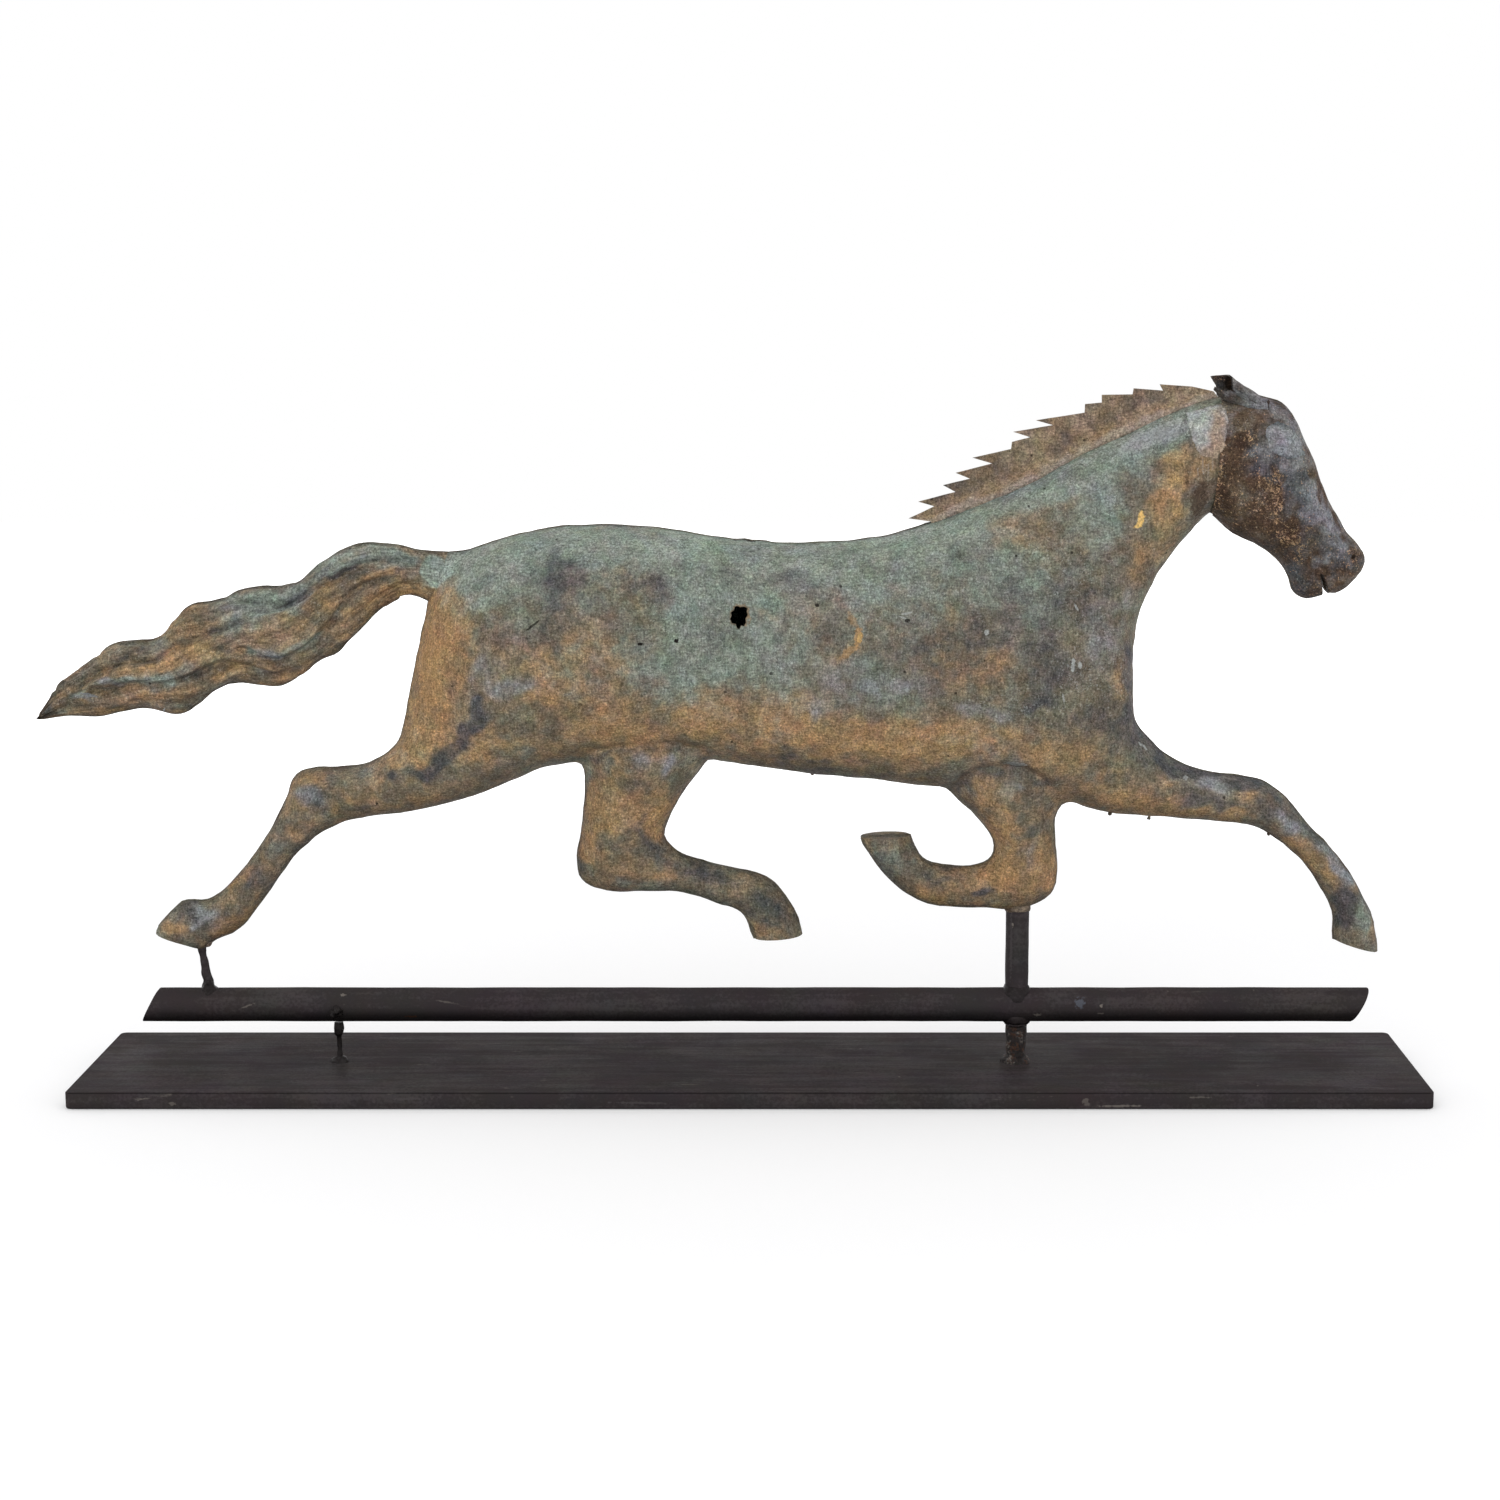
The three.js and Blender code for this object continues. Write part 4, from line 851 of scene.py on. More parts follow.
def black_paint(name, low, high, gloss, rough, wear, marks):
    """Black paint with faint clouds, scuffs and small chips; painted shade darkens the undersides and the
    marked front top edge.
    """
    colours = bpy.context.scene.stand_colours
    f = Finish(name)
    clouds = f.lumps(0.050, detail=5)
    brush = f.lumps(0.0060, detail=5, stretch=(0.08, 1, 1))
    grain = f.lumps(0.0018, detail=4, roughness=0.7)
    worn_and_highlight = f.window(f.mean(clouds[0], brush[0], grain[0]), 0.40, 0.85, 0.0, 0.6)
    surface = f.mix(worn_and_highlight, getattr(colours, low), getattr(colours, high))
    surface = f.tinted(surface, 0.0300, 0.30)
    scuffs = f.lumps(0.0050, detail=6, roughness=0.75, low=0.60, high=0.72, stretch=(0.20, 1, 1),
                     shift=(2, 6, 3))
    scuffed = f.product(scuffs[0], f.window(clouds[1], 0.55, 0.95, 0.0, 0.55 * wear))
    surface = f.mix(scuffed, surface, colours.scuff)
    distance, own = f.cells(0.015)
    chips = f.product(f.window(f.sum(distance, grain[1], 0.03), 0.070, 0.040), f.window(own, 0.62, 0.66))
    surface = f.mix(f.product(chips, 0.5 * wear), surface, colours.scuff)
    for x, y, reach, long, wide, tilt, tone, share in marks:
        edge = f.sum(f.mark(x, y, reach, 1.2 * long, 1.2 * wide, tilt), f.sum(grain[0], -1.0), 0.5)
        surface = f.mix(f.window(edge, 0.0, 0.30, 0.0, share), surface, getattr(colours, tone))
    # Painted shade: darker on faces that point down.
    surface = f.shaded(surface, f.window(f.axes(f.coordinates("Normal"))["Z"], -0.90, 0.35), 0.32, 1.0)
    # Painted shade: a dark line along the front top chamfer that the base plate marks.
    surface = f.shaded(surface, f.mask("edge"), 1.0, 0.45)
    height = f.sum(f.sum(f.mean(brush[0], grain[0]), clouds[0], 0.4), chips, -0.8)
    shine = f.window(f.mean(clouds[2], brush[2]), 0.2, 0.8, rough, rough + 0.18)
    return f.finish(surface, shine, 0.0, f.bump(height, 0.00016), specular=gloss)


# Chips, scratches and stains on the front of the rod and of the base, and a painted highlight on the post, as
# in COPPER_MARKS
ROD_MARKS = [
    (256, 989.5, 0.008, 10, 2.6, 0, "rust", 0.65), (412, 1016, 0.007, 8, 1.6, 0, "rust", 0.7),
    (247, 1006, 0.009, 9, 1.3, -20, "scuff", 0.3), (343, 996, 0.009, 4, 1.5, 0, "scuff", 0.45),
    (446, 1002, 0.009, 14, 1.2, 9, "scuff", 0.22), (1080, 1003, 0.009, 7, 6, 0, "steel", 0.85),
    (1101, 1006, 0.009, 2.4, 2.2, 0, "scuff", 0.6), (1037, 1014.5, 0.008, 5, 2.2, 0, "scuff", 0.55),
    (1101, 1013, 0.008, 4, 1, 0, "scuff", 0.35),
]
# Painted highlight: the long pale streak down the post's left side; then a scuff below the knee.
POST_MARKS = [(1011, 946, 0.006, 1.7, 40, 0, "worn_and_highlight", 0.8), (1013, 925, 0.006, 1.4, 3.6, 0, "scuff", 0.55)]
BASE_MARKS = [
    (172, 1104, 0.0635, 5, 3, 0, "scuff", 0.3), (1086, 1102, 0.0635, 5, 4, 40, "scuff", 0.28),
    (1120, 1106, 0.0635, 27, 1.4, 0, "scuff", 0.45), (1200, 1097.5, 0.0635, 13, 1.1, 0, "scuff", 0.22),
    (640, 1103, 0.0635, 40, 1.6, 1, "worn_and_highlight", 0.8), (410, 1099, 0.0635, 24, 1.6, -1, "worn_and_highlight", 0.8),
]


def raw_iron():
    """Rough dark iron with rust, and the last white specks of an old coat."""
    colours = bpy.context.scene.stand_colours
    f = Finish("raw_iron")
    clouds = f.lumps(0.0060, detail=5)
    grain = f.lumps(0.0015, detail=5, roughness=0.7)
    surface = f.mix(f.mean(clouds[0], grain[0]), colours.iron, colours.black)
    surface = f.mix(f.window(f.mean(clouds[1], grain[1]), 0.52, 0.88, 0.0, 0.8), surface, colours.rust)
    surface = f.mix(f.window(f.mean(clouds[2], grain[2]), 0.66, 0.92, 0.0, 0.7), surface, colours.scuff)
    return f.finish(surface, 0.62, 0.2, f.bump(f.mean(clouds[0], grain[0]), 0.0008), specular=0.3)


def turned_metal(name, *levels):
    """Bearing metal with fine turning marks."""
    f = Finish(name)
    turning = f.lumps(0.0012, detail=4, stretch=(0.1, 0.1, 1))
    surface = f.mix(turning[0], linear(*levels), linear(*(0.78 * level for level in levels)))
    return f.finish(surface, f.window(turning[1], 0.0, 1.0, 0.25, 0.42), 1.0, f.bump(turning[0], 0.00005))


# The paint's two colours, its gloss, its roughness, its wear and its marks
PAINTS = {
    "base_paint": ("black", "worn_and_highlight", 0.002, 0.28, 1.0, BASE_MARKS),
    "satin_paint": ("black", "worn_and_highlight", 0.003, 0.42, 0.5, ROD_MARKS),
    "post_paint": ("black", "worn_and_highlight", 0.035, 0.40, 0.8, POST_MARKS),
    "thick_paint": ("tar", "black", 0.08, 0.20, 0.3, ()),
}
BEARING_METALS = {"bearing_steel": (176, 176, 178), "bush_bronze": (176, 140, 84)}


def finish_named(name):
    """The finish of that name, made when it is first asked for."""
    made = bpy.data.materials.get(f"{name}_finish")
    if made:
        return made
    if name in PATINAS:
        return patina(name, **PATINAS[name])
    if name in PAINTS:
        return black_paint(name, *PAINTS[name])
    if name in BEARING_METALS:
        return turned_metal(name, *BEARING_METALS[name])
    return raw_iron()


# Masks of the horse's finish, in picture pixels. Spots are x, y, half length, half width, strength
# and the tilt in degrees of those that have one. Lines are their points, half width and strength.

GREEN_LINES = [
    ([(930, 534), (975, 513), (1035, 488), (1085, 467), (1130, 447), (1182, 425)], 17, 0.85), ([(462, 560),
    (500, 552), (560, 541), (620, 538), (700, 546), (800, 558), (900, 553), (940, 545)], 24, 0.8),
]
GREEN_SPOTS = [
    (428, 670, 26, 62, -0.45), (520, 722, 44, 30, -0.25), (695, 585, 36, 30, 0.6), (585, 556, 34, 20, 0.45),
    (640, 562, 60, 26, 0.28), (670, 670, 32, 28, 0.45), (700, 635, 44, 44, 0.38), (800, 600, 60, 40, 0.35),
    (870, 562, 50, 26, 0.35), (770, 602, 40, 40, 0.3), (1000, 560, 60, 40, 0.38), (985, 590, 60, 34, 0.34),
    (1040, 610, 24, 20, 0.35), (890, 600, 44, 44, 0.3), (1110, 507, 18, 34, 0.45), (760, 662, 60, 40, 0.38),
    (860, 690, 60, 26, 0.22), (480, 590, 30, 24, 0.4), (520, 590, 40, 30, 0.3),
    (1080, 480, 40, 20, 0.3, -24), (1364, 915, 6, 30, 0.7), (888, 852, 18, 26, 0.4),
    (1150, 440, 50, 12, 0.5, -20), (326, 815, 16, 10, 0.4), (280, 850, 26, 12, 0.35, -60),
    (720, 868, 26, 8, 0.4, 12), (600, 600, 60, 20, 0.25),
]
GILT_AND_REFLECTION_LINES = [
    ([(1090, 768), (1020, 745), (930, 744), (850, 744), (790, 737), (700, 728), (640, 735), (560, 742),
    (500, 752)], 24, 0.4), ([(431, 600), (436, 650), (426, 700), (410, 742)], 26, 1.65),
    ([(1292, 841), (1312, 858), (1334, 875), (1344, 892)], 9, 0.95),
    # Painted reflected light: the last line here runs along the reaching leg's lower edge.
    ([(832, 659), (846, 656), (854, 648)], 7, 0.7), ([(1120, 806), (1170, 812), (1240, 822)], 7, 0.6),
]
GILT_AND_REFLECTION_SPOTS = [
    (600, 668, 60, 34, 0.6), (545, 697, 40, 14, 0.4), (482, 742, 26, 20, 0.5, -50), (610, 717, 32, 16, 0.4),
    (700, 711, 24, 16, 0.6), (792, 706, 28, 20, 0.7), (759, 717, 10, 10, 0.5), (763, 617, 15, 10, 0.7),
    (1062, 502, 30, 14, 0.55, -35), (1045, 535, 28, 10, 0.3), (1170, 492, 16, 38, 0.95, 8),
    (1138, 562, 16, 18, 0.62), (1176, 456, 18, 18, 0.5), (1080, 555, 18, 12, 0.4), (465, 605, 16, 16, 0.5),
    (992, 670, 16, 22, 0.45), (1120, 687, 9, 14, 0.7), (945, 665, 18, 20, 0.35), (585, 647, 22, 14, 0.35),
    (650, 600, 24, 14, 0.45), (920, 738, 66, 18, 0.35), (1069, 746, 30, 16, 0.45), (755, 700, 50, 14, 0.2),
    (895, 600, 20, 20, 0.25), (1119, 795, 26, 12, 0.7), (1152, 806, 28, 8, 0.7), (593, 800, 9, 32, 1.05, 3),
    (589, 838, 8, 14, 1), (611, 774, 13, 9, 0.7), (608, 818, 12, 12, 0.7), (620, 800, 14, 14, 0.4),
    (656, 824, 20, 10, 0.7, 100), (660, 876, 26, 7, 0.75), (620, 868, 14, 10, 0.6), (770, 928, 10, 5, 1),
    (600, 862, 16, 14, 0.45), (988, 790, 18, 16, 0.8, 20), (1000, 822, 14, 16, 0.6),
    (1048, 860, 7, 22, 0.85), (1008, 876, 30, 14, 0.6), (926, 895, 26, 4, 0.7), (970, 872, 14, 6, 0.4),
    (400, 758, 22, 10, 0.75, -20), (376, 785, 14, 8, 0.75), (355, 799, 16, 8, 0.6), (307, 780, 16, 8, 0.55),
    (298, 835, 11, 8, 0.8), (239, 883, 9, 5, 0.95, -50), (238, 921, 22, 7, 0.7, -40),
    # Painted reflected light: the thin spot at 1221, 815 on the reaching leg's lower edge.
    (170, 926, 12, 8, 0.85), (1252, 793, 15, 6, 0.85, 8), (1221, 815, 32, 4, 0.85, 3),
    (560, 672, 40, 24, 0.35), (482, 684, 30, 26, 0.42), (1004, 850, 30, 16, 0.45), (640, 802, 24, 24, 0.15),
    (1205, 512, 14, 28, -0.6), (1206, 468, 12, 14, 0.45), (552, 704, 18, 12, 0.3), (703, 716, 12, 18, 0.4),
    (880, 736, 60, 16, 0.3), (985, 742, 60, 16, 0.3), (415, 800, 40, 8, 0.4, -10), (560, 752, 40, 12, 0.2),
    (1110, 770, 20, 14, 0.2), (1169, 783, 7, 5, 0.6),
]
# Painted shade: dark lines along the creases of the thigh, the tucked leg and the folded leg, down the chest's
# front edge, along the top of the reaching leg and at the neck patch's edge.
SOOT_AND_SHADE_LINES = [
    ([(478, 712), (470, 728), (455, 748), (424, 776)], 10, 1.45),
    ([(640, 812), (634, 828), (646, 848), (682, 866), (730, 884)], 10, 0.65),
    ([(1131, 650), (1131, 690), (1142, 730), (1165, 760), (1196, 772), (1240, 778)], 10, 0.7),
    ([(1150, 755), (1180, 772), (1240, 778), (1270, 790), (1300, 820), (1330, 850)], 7, 0.7),
    ([(572, 765), (600, 755), (650, 748), (704, 755)], 4, 0.6),
    ([(951, 791), (965, 780), (981, 774), (1005, 769), (1026, 773), (1045, 784)], 3, 0.5),
    ([(1184.5, 412), (1188, 428), (1193.6, 445)], 2.4, 0.8),
]
# Dark stains, with some painted shade along the belly's lower edge and in the folds of the legs.
SOOT_AND_SHADE_SPOTS = [
    (560, 577, 36, 24, 0.7), (655, 585, 26, 16, 0.66), (727, 573, 14, 12, 0.55), (716, 622, 16, 24, 0.5),
    (545, 620, 28, 16, 0.5, -30), (783, 580, 26, 16, 0.66), (812, 588, 16, 12, 0.45),
    (740, 641, 14, 9, 0.6), (1050, 668, 26, 34, 0.62), (1038, 706, 24, 6, 0.8), (985, 628, 44, 26, 0.45),
    (900, 650, 60, 26, 0.36), (1140, 736, 20, 26, 0.5), (1020, 600, 50, 40, 0.34), (1095, 600, 24, 34, 0.3),
    (1193, 494, 9, 20, 0.45), (1212, 512, 8, 20, 0.4), (1104, 716, 30, 30, 0.52), (960, 556, 24, 16, 0.38),
    (393, 780, 12, 7, 0.8), (364, 809, 18, 6, 0.75, -15), (316, 800, 28, 17, 0.8, -10),
    (1345, 905, 12, 28, 0.5), (255, 880, 9, 12, 0.75, 20), (198, 914, 26, 16, 0.75, 20),
    (730, 882, 40, 12, 0.5, 22), (772, 914, 24, 18, 0.85, 50), (936, 878, 28, 7, 0.85),
    (982, 890, 7, 5, 0.9), (1221, 805, 28, 8, 0.85, 5), (1181, 793, 20, 12, 0.9), (700, 650, 34, 30, 0.26),
    (1270, 812, 24, 10, 0.6, 30), (1350, 908, 16, 22, 0.62), (805, 757, 34, 6, 0.7, 3),
    (885, 858, 26, 20, 0.25, 40), (582, 862, 5, 16, 0.6), (1030, 838, 8, 18, 0.3),
    (300, 850, 10, 20, 0.3, 30), (940, 700, 60, 14, 0.2), (1060, 620, 30, 20, 0.3),
    (840, 775, 60, 4, 0.45, 4),
]
# Thin blue-grey bloom, with painted highlights on the hock and the driving hoof.
MIST_AND_HIGHLIGHT_SPOTS = [
    (520, 685, 12, 8, 0.8), (482, 667, 18, 12, 0.6), (500, 692, 12, 9, 0.6), (570, 692, 9, 7, 0.75),
    (642, 762, 11, 9, 0.8), (669, 766, 7, 13, 0.8, 10), (837, 680, 26, 24, 0.5), (890, 690, 34, 14, 0.66),
    (815, 710, 7, 14, 0.62), (1102, 640, 20, 34, 0.74), (1110, 507, 14, 28, 0.45), (1005, 710, 30, 8, 0.55),
    (967, 707, 20, 8, 0.55), (1214, 786, 18, 8, 0.9, 5), (1288, 821, 17, 7, 1, 44),
    (1331, 857, 26, 7, 0.95, 47), (1349, 876, 16, 7, 0.7, 50), (205, 916, 9, 9, 1), (193, 926, 6, 4, 0.9),
    (314, 797, 11, 8, 1), (1018, 788, 16, 6, 0.6, 10), (1032, 856, 6, 16, 0.55),
    (1040, 480, 60, 7, 0.55, -25), (1150, 440, 40, 8, 0.5, -20), (1150, 438, 44, 10, 0.45, -20),
    (1128, 600, 12, 20, 0.3), (482, 690, 26, 20, 0.5), (520, 628, 30, 24, 0.35), (740, 556, 50, 14, 0.35),
    (870, 566, 40, 12, 0.25),
]
BLOOM_SPOTS = [
    (436, 571, 13, 14, 1.8), (585, 555, 18, 7, 0.35), (698, 586, 22, 14, 0.3),
]
# Pale specks, with painted highlights on the driving hoof and the hock.
PALE_AND_HIGHLIGHT_SPOTS = [
    (1150, 438, 50, 14, 1, -20), (1206, 470, 12, 18, 1.2), (1045, 570, 90, 60, 0.8),
    (1085, 680, 50, 50, 0.8), (700, 640, 60, 60, 0.8), (900, 610, 60, 40, 0.7), (1005, 705, 40, 12, 1),
    (1100, 670, 30, 20, 1), (205, 918, 16, 14, 0.8), (314, 797, 18, 14, 0.7),
]


def strayed(seen, places, pixels, size, seed):
    """Pixels pulled aside by noise, so that what is painted there has no even outline."""
    return seen + pixels * 2 * np.column_stack((wander(places, size, seed), wander(places, size, seed + 9)))


def keep_copper_masks(relief):
    """Where the copper is gilded, green, sooty or pale, and where painted shade, painted highlights and a
    painted reflection lie.
    """
    seen = strayed(relief.seen, relief.places, 5.0, 0.011, 3.0)
    legs = np.clip((relief.seen[:, 1] - 770) / 40, 0, 1)
    clouds = wander(relief.places, 0.045, 11.0)
    relief.keep("green", 0.20 - 0.10 * legs + 0.28 * clouds + sum_of(seen, GREEN_SPOTS, GREEN_LINES))
    relief.keep("gilt", 0.16 + 0.18 * legs - 0.3 * clouds + sum_of(seen, GILT_AND_REFLECTION_SPOTS, GILT_AND_REFLECTION_LINES))
    # Dark stains, and painted shade in the creases.
    relief.keep("soot", 0.12 + 0.26 * wander(relief.places, 0.038, 15.0) + sum_of(seen, SOOT_AND_SHADE_SPOTS, SOOT_AND_SHADE_LINES))
    relief.keep("mist", 0.10 + sum_of(seen, MIST_AND_HIGHLIGHT_SPOTS))
    relief.keep("bloom", sum_of(seen, BLOOM_SPOTS))
    relief.keep("pale", sum_of(seen, PALE_AND_HIGHLIGHT_SPOTS))


# The horse


def leg_widths(shares):
    return [CANNON_HALF_WIDTH + share * (THIGH_HALF_WIDTH - CANNON_HALF_WIDTH) for share in shares]


def cut_flat(bm, first, second, inside, reach, close=True):
    """Cuts a form off along the line through two pixels, on the side away from the pixel `inside`."""
    a, b, kept = (seam_point(*pixel) for pixel in (first, second, inside))
    away = (b - a).cross(Vector((0, 1, 0))).normalized()
    if (kept - a).dot(away) > 0:
        away.negate()
    middle = (a + b) / 2
    verts = [vert for vert in bm.verts if (vert.co - middle).length < reach]
    near = set(verts)
    edges = [edge for edge in bm.edges if edge.verts[0] in near and edge.verts[1] in near]
    faces = [face for face in bm.faces if all(vert in near for vert in face.verts)]
    cut = bmesh.ops.bisect_plane(bm, geom=verts + edges + faces, plane_co=a, plane_no=away, clear_outer=True)
    rim = [item for item in cut["geom_cut"] if isinstance(item, bmesh.types.BMEdge)]
    if close:
        bmesh.ops.contextual_create(bm, geom=rim)
        bmesh.ops.recalc_face_normals(bm, faces=bm.faces[:])


class MakeBody(bpy.types.Operator):
    """Raise the body and the four legs as one skin, and split it into two half shells"""
    bl_idname = "vane.body"
    bl_label = "Body and Legs"

    def execute(self, context):
        bm = bmesh.new()
        loft(bm, BODY_EDGES + [NECK_TONGUE[:4]],
             [share * BODY_HALF_WIDTH for share in BODY_WIDTH_SHARES + [NECK_TONGUE[4]]], 72, 2.2, 5)
        for edges, shares in ((DRIVING_EDGES[:-3] + DRIVING_SOLE, DRIVING_SHARES[:-3] + [0.05, 0.10, 0.08]),
                              (TUCKED_EDGES + TUCKED_SOLE, TUCKED_SHARES + [0.14]),
                              (FOLDED_EDGES[:-2] + FOLDED_SOLE, FOLDED_SHARES[:-2] + [0.12, 0.14]),
                              (REACHING_EDGES[:-2] + REACHING_SOLE, REACHING_SHARES[:-2] + [0.12, 0.16])):
            loft(bm, edges, leg_widths(shares), 40, 2.0, 4)
        skin = skinned(mesh_of(bm, "horse"), sizes().skin_step)
        relief = Relief(skin)
        relief.soften(3, 0.5)
        seen = relief.seen
        joins = sum_of(seen, [(470, 750, 75, 60, 1.6, -35), (1125, 780, 70, 50, 1.6, 20)])
        relief.soften(26, np.clip(joins, 0, 1) * 0.6)
        folds = sum_of(seen, (), [(FOLD_CREASE, 16, 1.0), (TUCK_CREASE, 16, 1.0)])
        relief.soften(6, np.clip(folds, 0, 1) * 0.5)

        depth = sizes().crease_depth
        seen = relief.seen
        amount = -depth * near_line(seen, FOLD_CREASE, 4.5, 0.16)
        amount -= 0.9 * depth * near_line(seen, TUCK_CREASE, 5.0, 0.2)
        amount -= 0.3 * depth * near_line(seen, THIGH_CREASE, 12.0, 0.3)
        amount += depth * sum_of(seen, MUSCLES)
        for line, width, height in TENDONS:
            amount += depth * height * near_line(seen, line, width, 0.25)
        hammer = sizes().hammer_depth
        amount += hammer * 1.8 * wander(relief.places, 0.034, 3.0)
        amount += hammer * 1.0 * wander(relief.places, 0.012, 8.0)
        amount += hammer * 0.45 * wander(relief.places, 0.005, 5.0)
        relief.push(amount)
        keep_copper_masks(relief)

        bm = bm_of(skin)
        for first, second, inside in SOLE_CUTS:
            cut_flat(bm, first, second, inside, SOLE_REACH)
        skin = mesh_of(bm, "horse")
        outline = [seam_point(x, y, FLANK_HOLE_REACH) for x, y in RAGGED_HOLE]
        add_halves("horse", skin, "body_copper", finish_named("copper_patina"), prism(outline),
                   "body", "hind_driving", "hind_tucked", "fore_folded", "fore_reaching")
        return {"FINISHED"}


# The end of the neck that goes into the head, with the share of its half width
NECK_TONGUE = (1234, 405, 1222, 512, 0.46)
# The last sections of each leg reach past the sole, which is then cut flat
DRIVING_SOLE = [(182, 900, 203, 949), (169, 914, 186, 948), (156, 929, 168, 944)]
TUCKED_SOLE = [(758, 946, 806, 944)]
FOLDED_SOLE = [(908, 827, 862, 841), (906, 818, 857, 826)]
REACHING_SOLE = [(1375.5, 940, 1332.8, 938), (1378, 960, 1333, 954)]
SOLE_CUTS = [
    ((158.3, 930.5), (197.6, 946.7), (200, 915)), ((754, 937.5), (803.5, 933.5), (775, 915)),
    ((864.3, 836), (910, 834.6), (890, 855)), ((1333, 938), (1374.6, 949.8), (1352, 915)),
]
SOLE_REACH = 0.024
# Swells of the copper: spots and lines in picture pixels, with their height in shares of the crease depth
MUSCLES = [
    (1005, 802, 40, 22, 0.5), (1016, 868, 34, 30, 0.32), (640, 792, 50, 24, 0.42), (610, 864, 24, 26, 0.35),
    (318, 788, 22, 18, 0.4), (500, 640, 60, 70, 0.55), (1050, 660, 60, 90, 0.55),
    (1275, 800, 30, 20, 0.35, 30), (760, 905, 26, 18, 0.3), (195, 915, 20, 16, 0.3),
    (1352, 915, 14, 26, 0.25, -10), (890, 852, 20, 22, 0.25, 40), (740, 618, 16, 20, -0.45),
    (715, 622, 12, 18, -0.22), (655, 585, 26, 16, -0.22), (783, 580, 24, 16, -0.25),
    (560, 577, 30, 22, -0.22), (961, 555, 7, 6, -0.4), (1172, 500, 18, 30, 0.25, 10),
    (850, 640, 14, 18, -0.2),
]
TENDONS = [
    ([(330, 800), (300, 845), (268, 885), (236, 912)], 6, 0.3),
    ([(640, 872), (700, 880), (748, 900)], 6, 0.26), ([(1282, 820), (1320, 856), (1348, 894)], 6, 0.3),
    ([(1010, 888), (960, 888), (920, 884)], 6, 0.26), ([(600, 780), (596, 820), (592, 850)], 6, 0.22),
    ([(1036, 800), (1038, 840), (1034, 880)], 7, 0.2), ([(664, 775), (652, 810), (646, 835)], 6, -0.22),
    ([(700, 757), (690, 780), (676, 804)], 5, 0.2), ([(735, 541), (752, 537.5), (772, 542)], 2.4, 0.35),
]
RAGGED_HOLE = [
    (734.6, 607.2), (737.5, 606.4), (740, 607.8), (744, 607), (747.6, 608.9), (746.6, 612), (747.8, 615.5),
    (745.4, 619), (746, 623), (743.4, 626.8), (741, 625.6), (739.2, 629.8), (736.8, 628), (735.6, 624.4),
    (731.8, 623.6), (730, 619.4), (731.4, 616), (730.6, 612.6), (733.8, 611),
]


def prism(points, near=-3.0, far=-0.2):
    """A cutter through an outline, from one share of the body's half width to another across the seam plane."""
    bm = bmesh.new()
    face = bm.faces.new([bm.verts.new((point.x, near * BODY_HALF_WIDTH, point.z)) for point in points])
    grown = bmesh.ops.extrude_face_region(bm, geom=[face])["geom"]
    bmesh.ops.translate(bm, vec=(0, (far - near) * BODY_HALF_WIDTH, 0),
                        verts=[vert for vert in grown if isinstance(vert, bmesh.types.BMVert)])
    bmesh.ops.recalc_face_normals(bm, faces=bm.faces[:])
    return linked("cutter", mesh_of(bm, "cutter"))


def clear_cutters():
    for thing in [o for o in bpy.data.objects if o.name.startswith("cutter")]:
        bpy.data.objects.remove(thing)


HEAD_ROOT = (1200, 402, 1192, 520)  # section behind the head's rim, cut away
HEAD_SWELLS = [
    (1240, 488, 32, 34, 2.2, 20), (1249, 441, 8.5, 5.5, 1.3, 30), (1249, 441, 13, 9, -0.7, 30),
    (1243, 431, 14, 3.5, 0.8, 25), (1352, 557, 9, 7, 1.2, -40), (1353.5, 556.5, 3.6, 2.2, -2.4, -45),
    (1340, 581, 9, 7, 0.8), (1305, 589, 10, 7, 0.8), (1306, 522, 24, 34, -1.1, -35),
    (1278, 440, 14, 16, 0.6), (1322, 520, 8, 34, 0.6, -28),
]
HEAD_FOLDS = [
    ([(1286, 474), (1284, 498), (1274, 518), (1256, 530)], 4.5, -1.1),
    ([(1316, 571), (1309, 562), (1301, 556)], 2.8, -1),
    ([(1222, 420), (1230, 450), (1226, 480), (1214, 500)], 6, -0.5),
    ([(1330, 545), (1340, 560), (1350, 570)], 3, -0.5), ([(1270, 418), (1284, 434), (1290, 452)], 4, -0.4),
]
MOUTH_SLIT = [
    (1316.2, 570.5), (1319.6, 573), (1323.2, 582), (1325.8, 589.5), (1330.5, 606), (1317.5, 606),
    (1320.6, 595), (1318.6, 586), (1316, 576),
]
HEAD_RUSSET = [
    (1238, 486, 24, 34, 0.2), (1240, 420, 26, 12, 0.9), (1212, 440, 14, 30, 0.5), (1225, 400, 20, 10, 0.7),
    (1262, 423, 12, 6, 0.6), (1256, 534, 18, 4, 0.7, 15), (1330, 590, 8, 4, 0.3),
    (1284, 548, 10, 6, 0.3, 40),
]
HEAD_PLUM = [
    (1240, 502, 30, 30, -0.16), (1298, 574, 14, 18, 0.85), (1318, 545, 16, 14, 0.6),
    (1262, 445, 10, 20, 0.7, 10), (1270, 462, 18, 14, 0.5), (1215, 465, 10, 12, 0.5),
    (1340, 566, 20, 14, 0.5), (1305, 515, 10, 14, 0.6, -30), (1296, 560, 10, 10, 0.4),
    (1245, 470, 16, 12, 0.2), (1330, 540, 10, 14, 0.4),
]
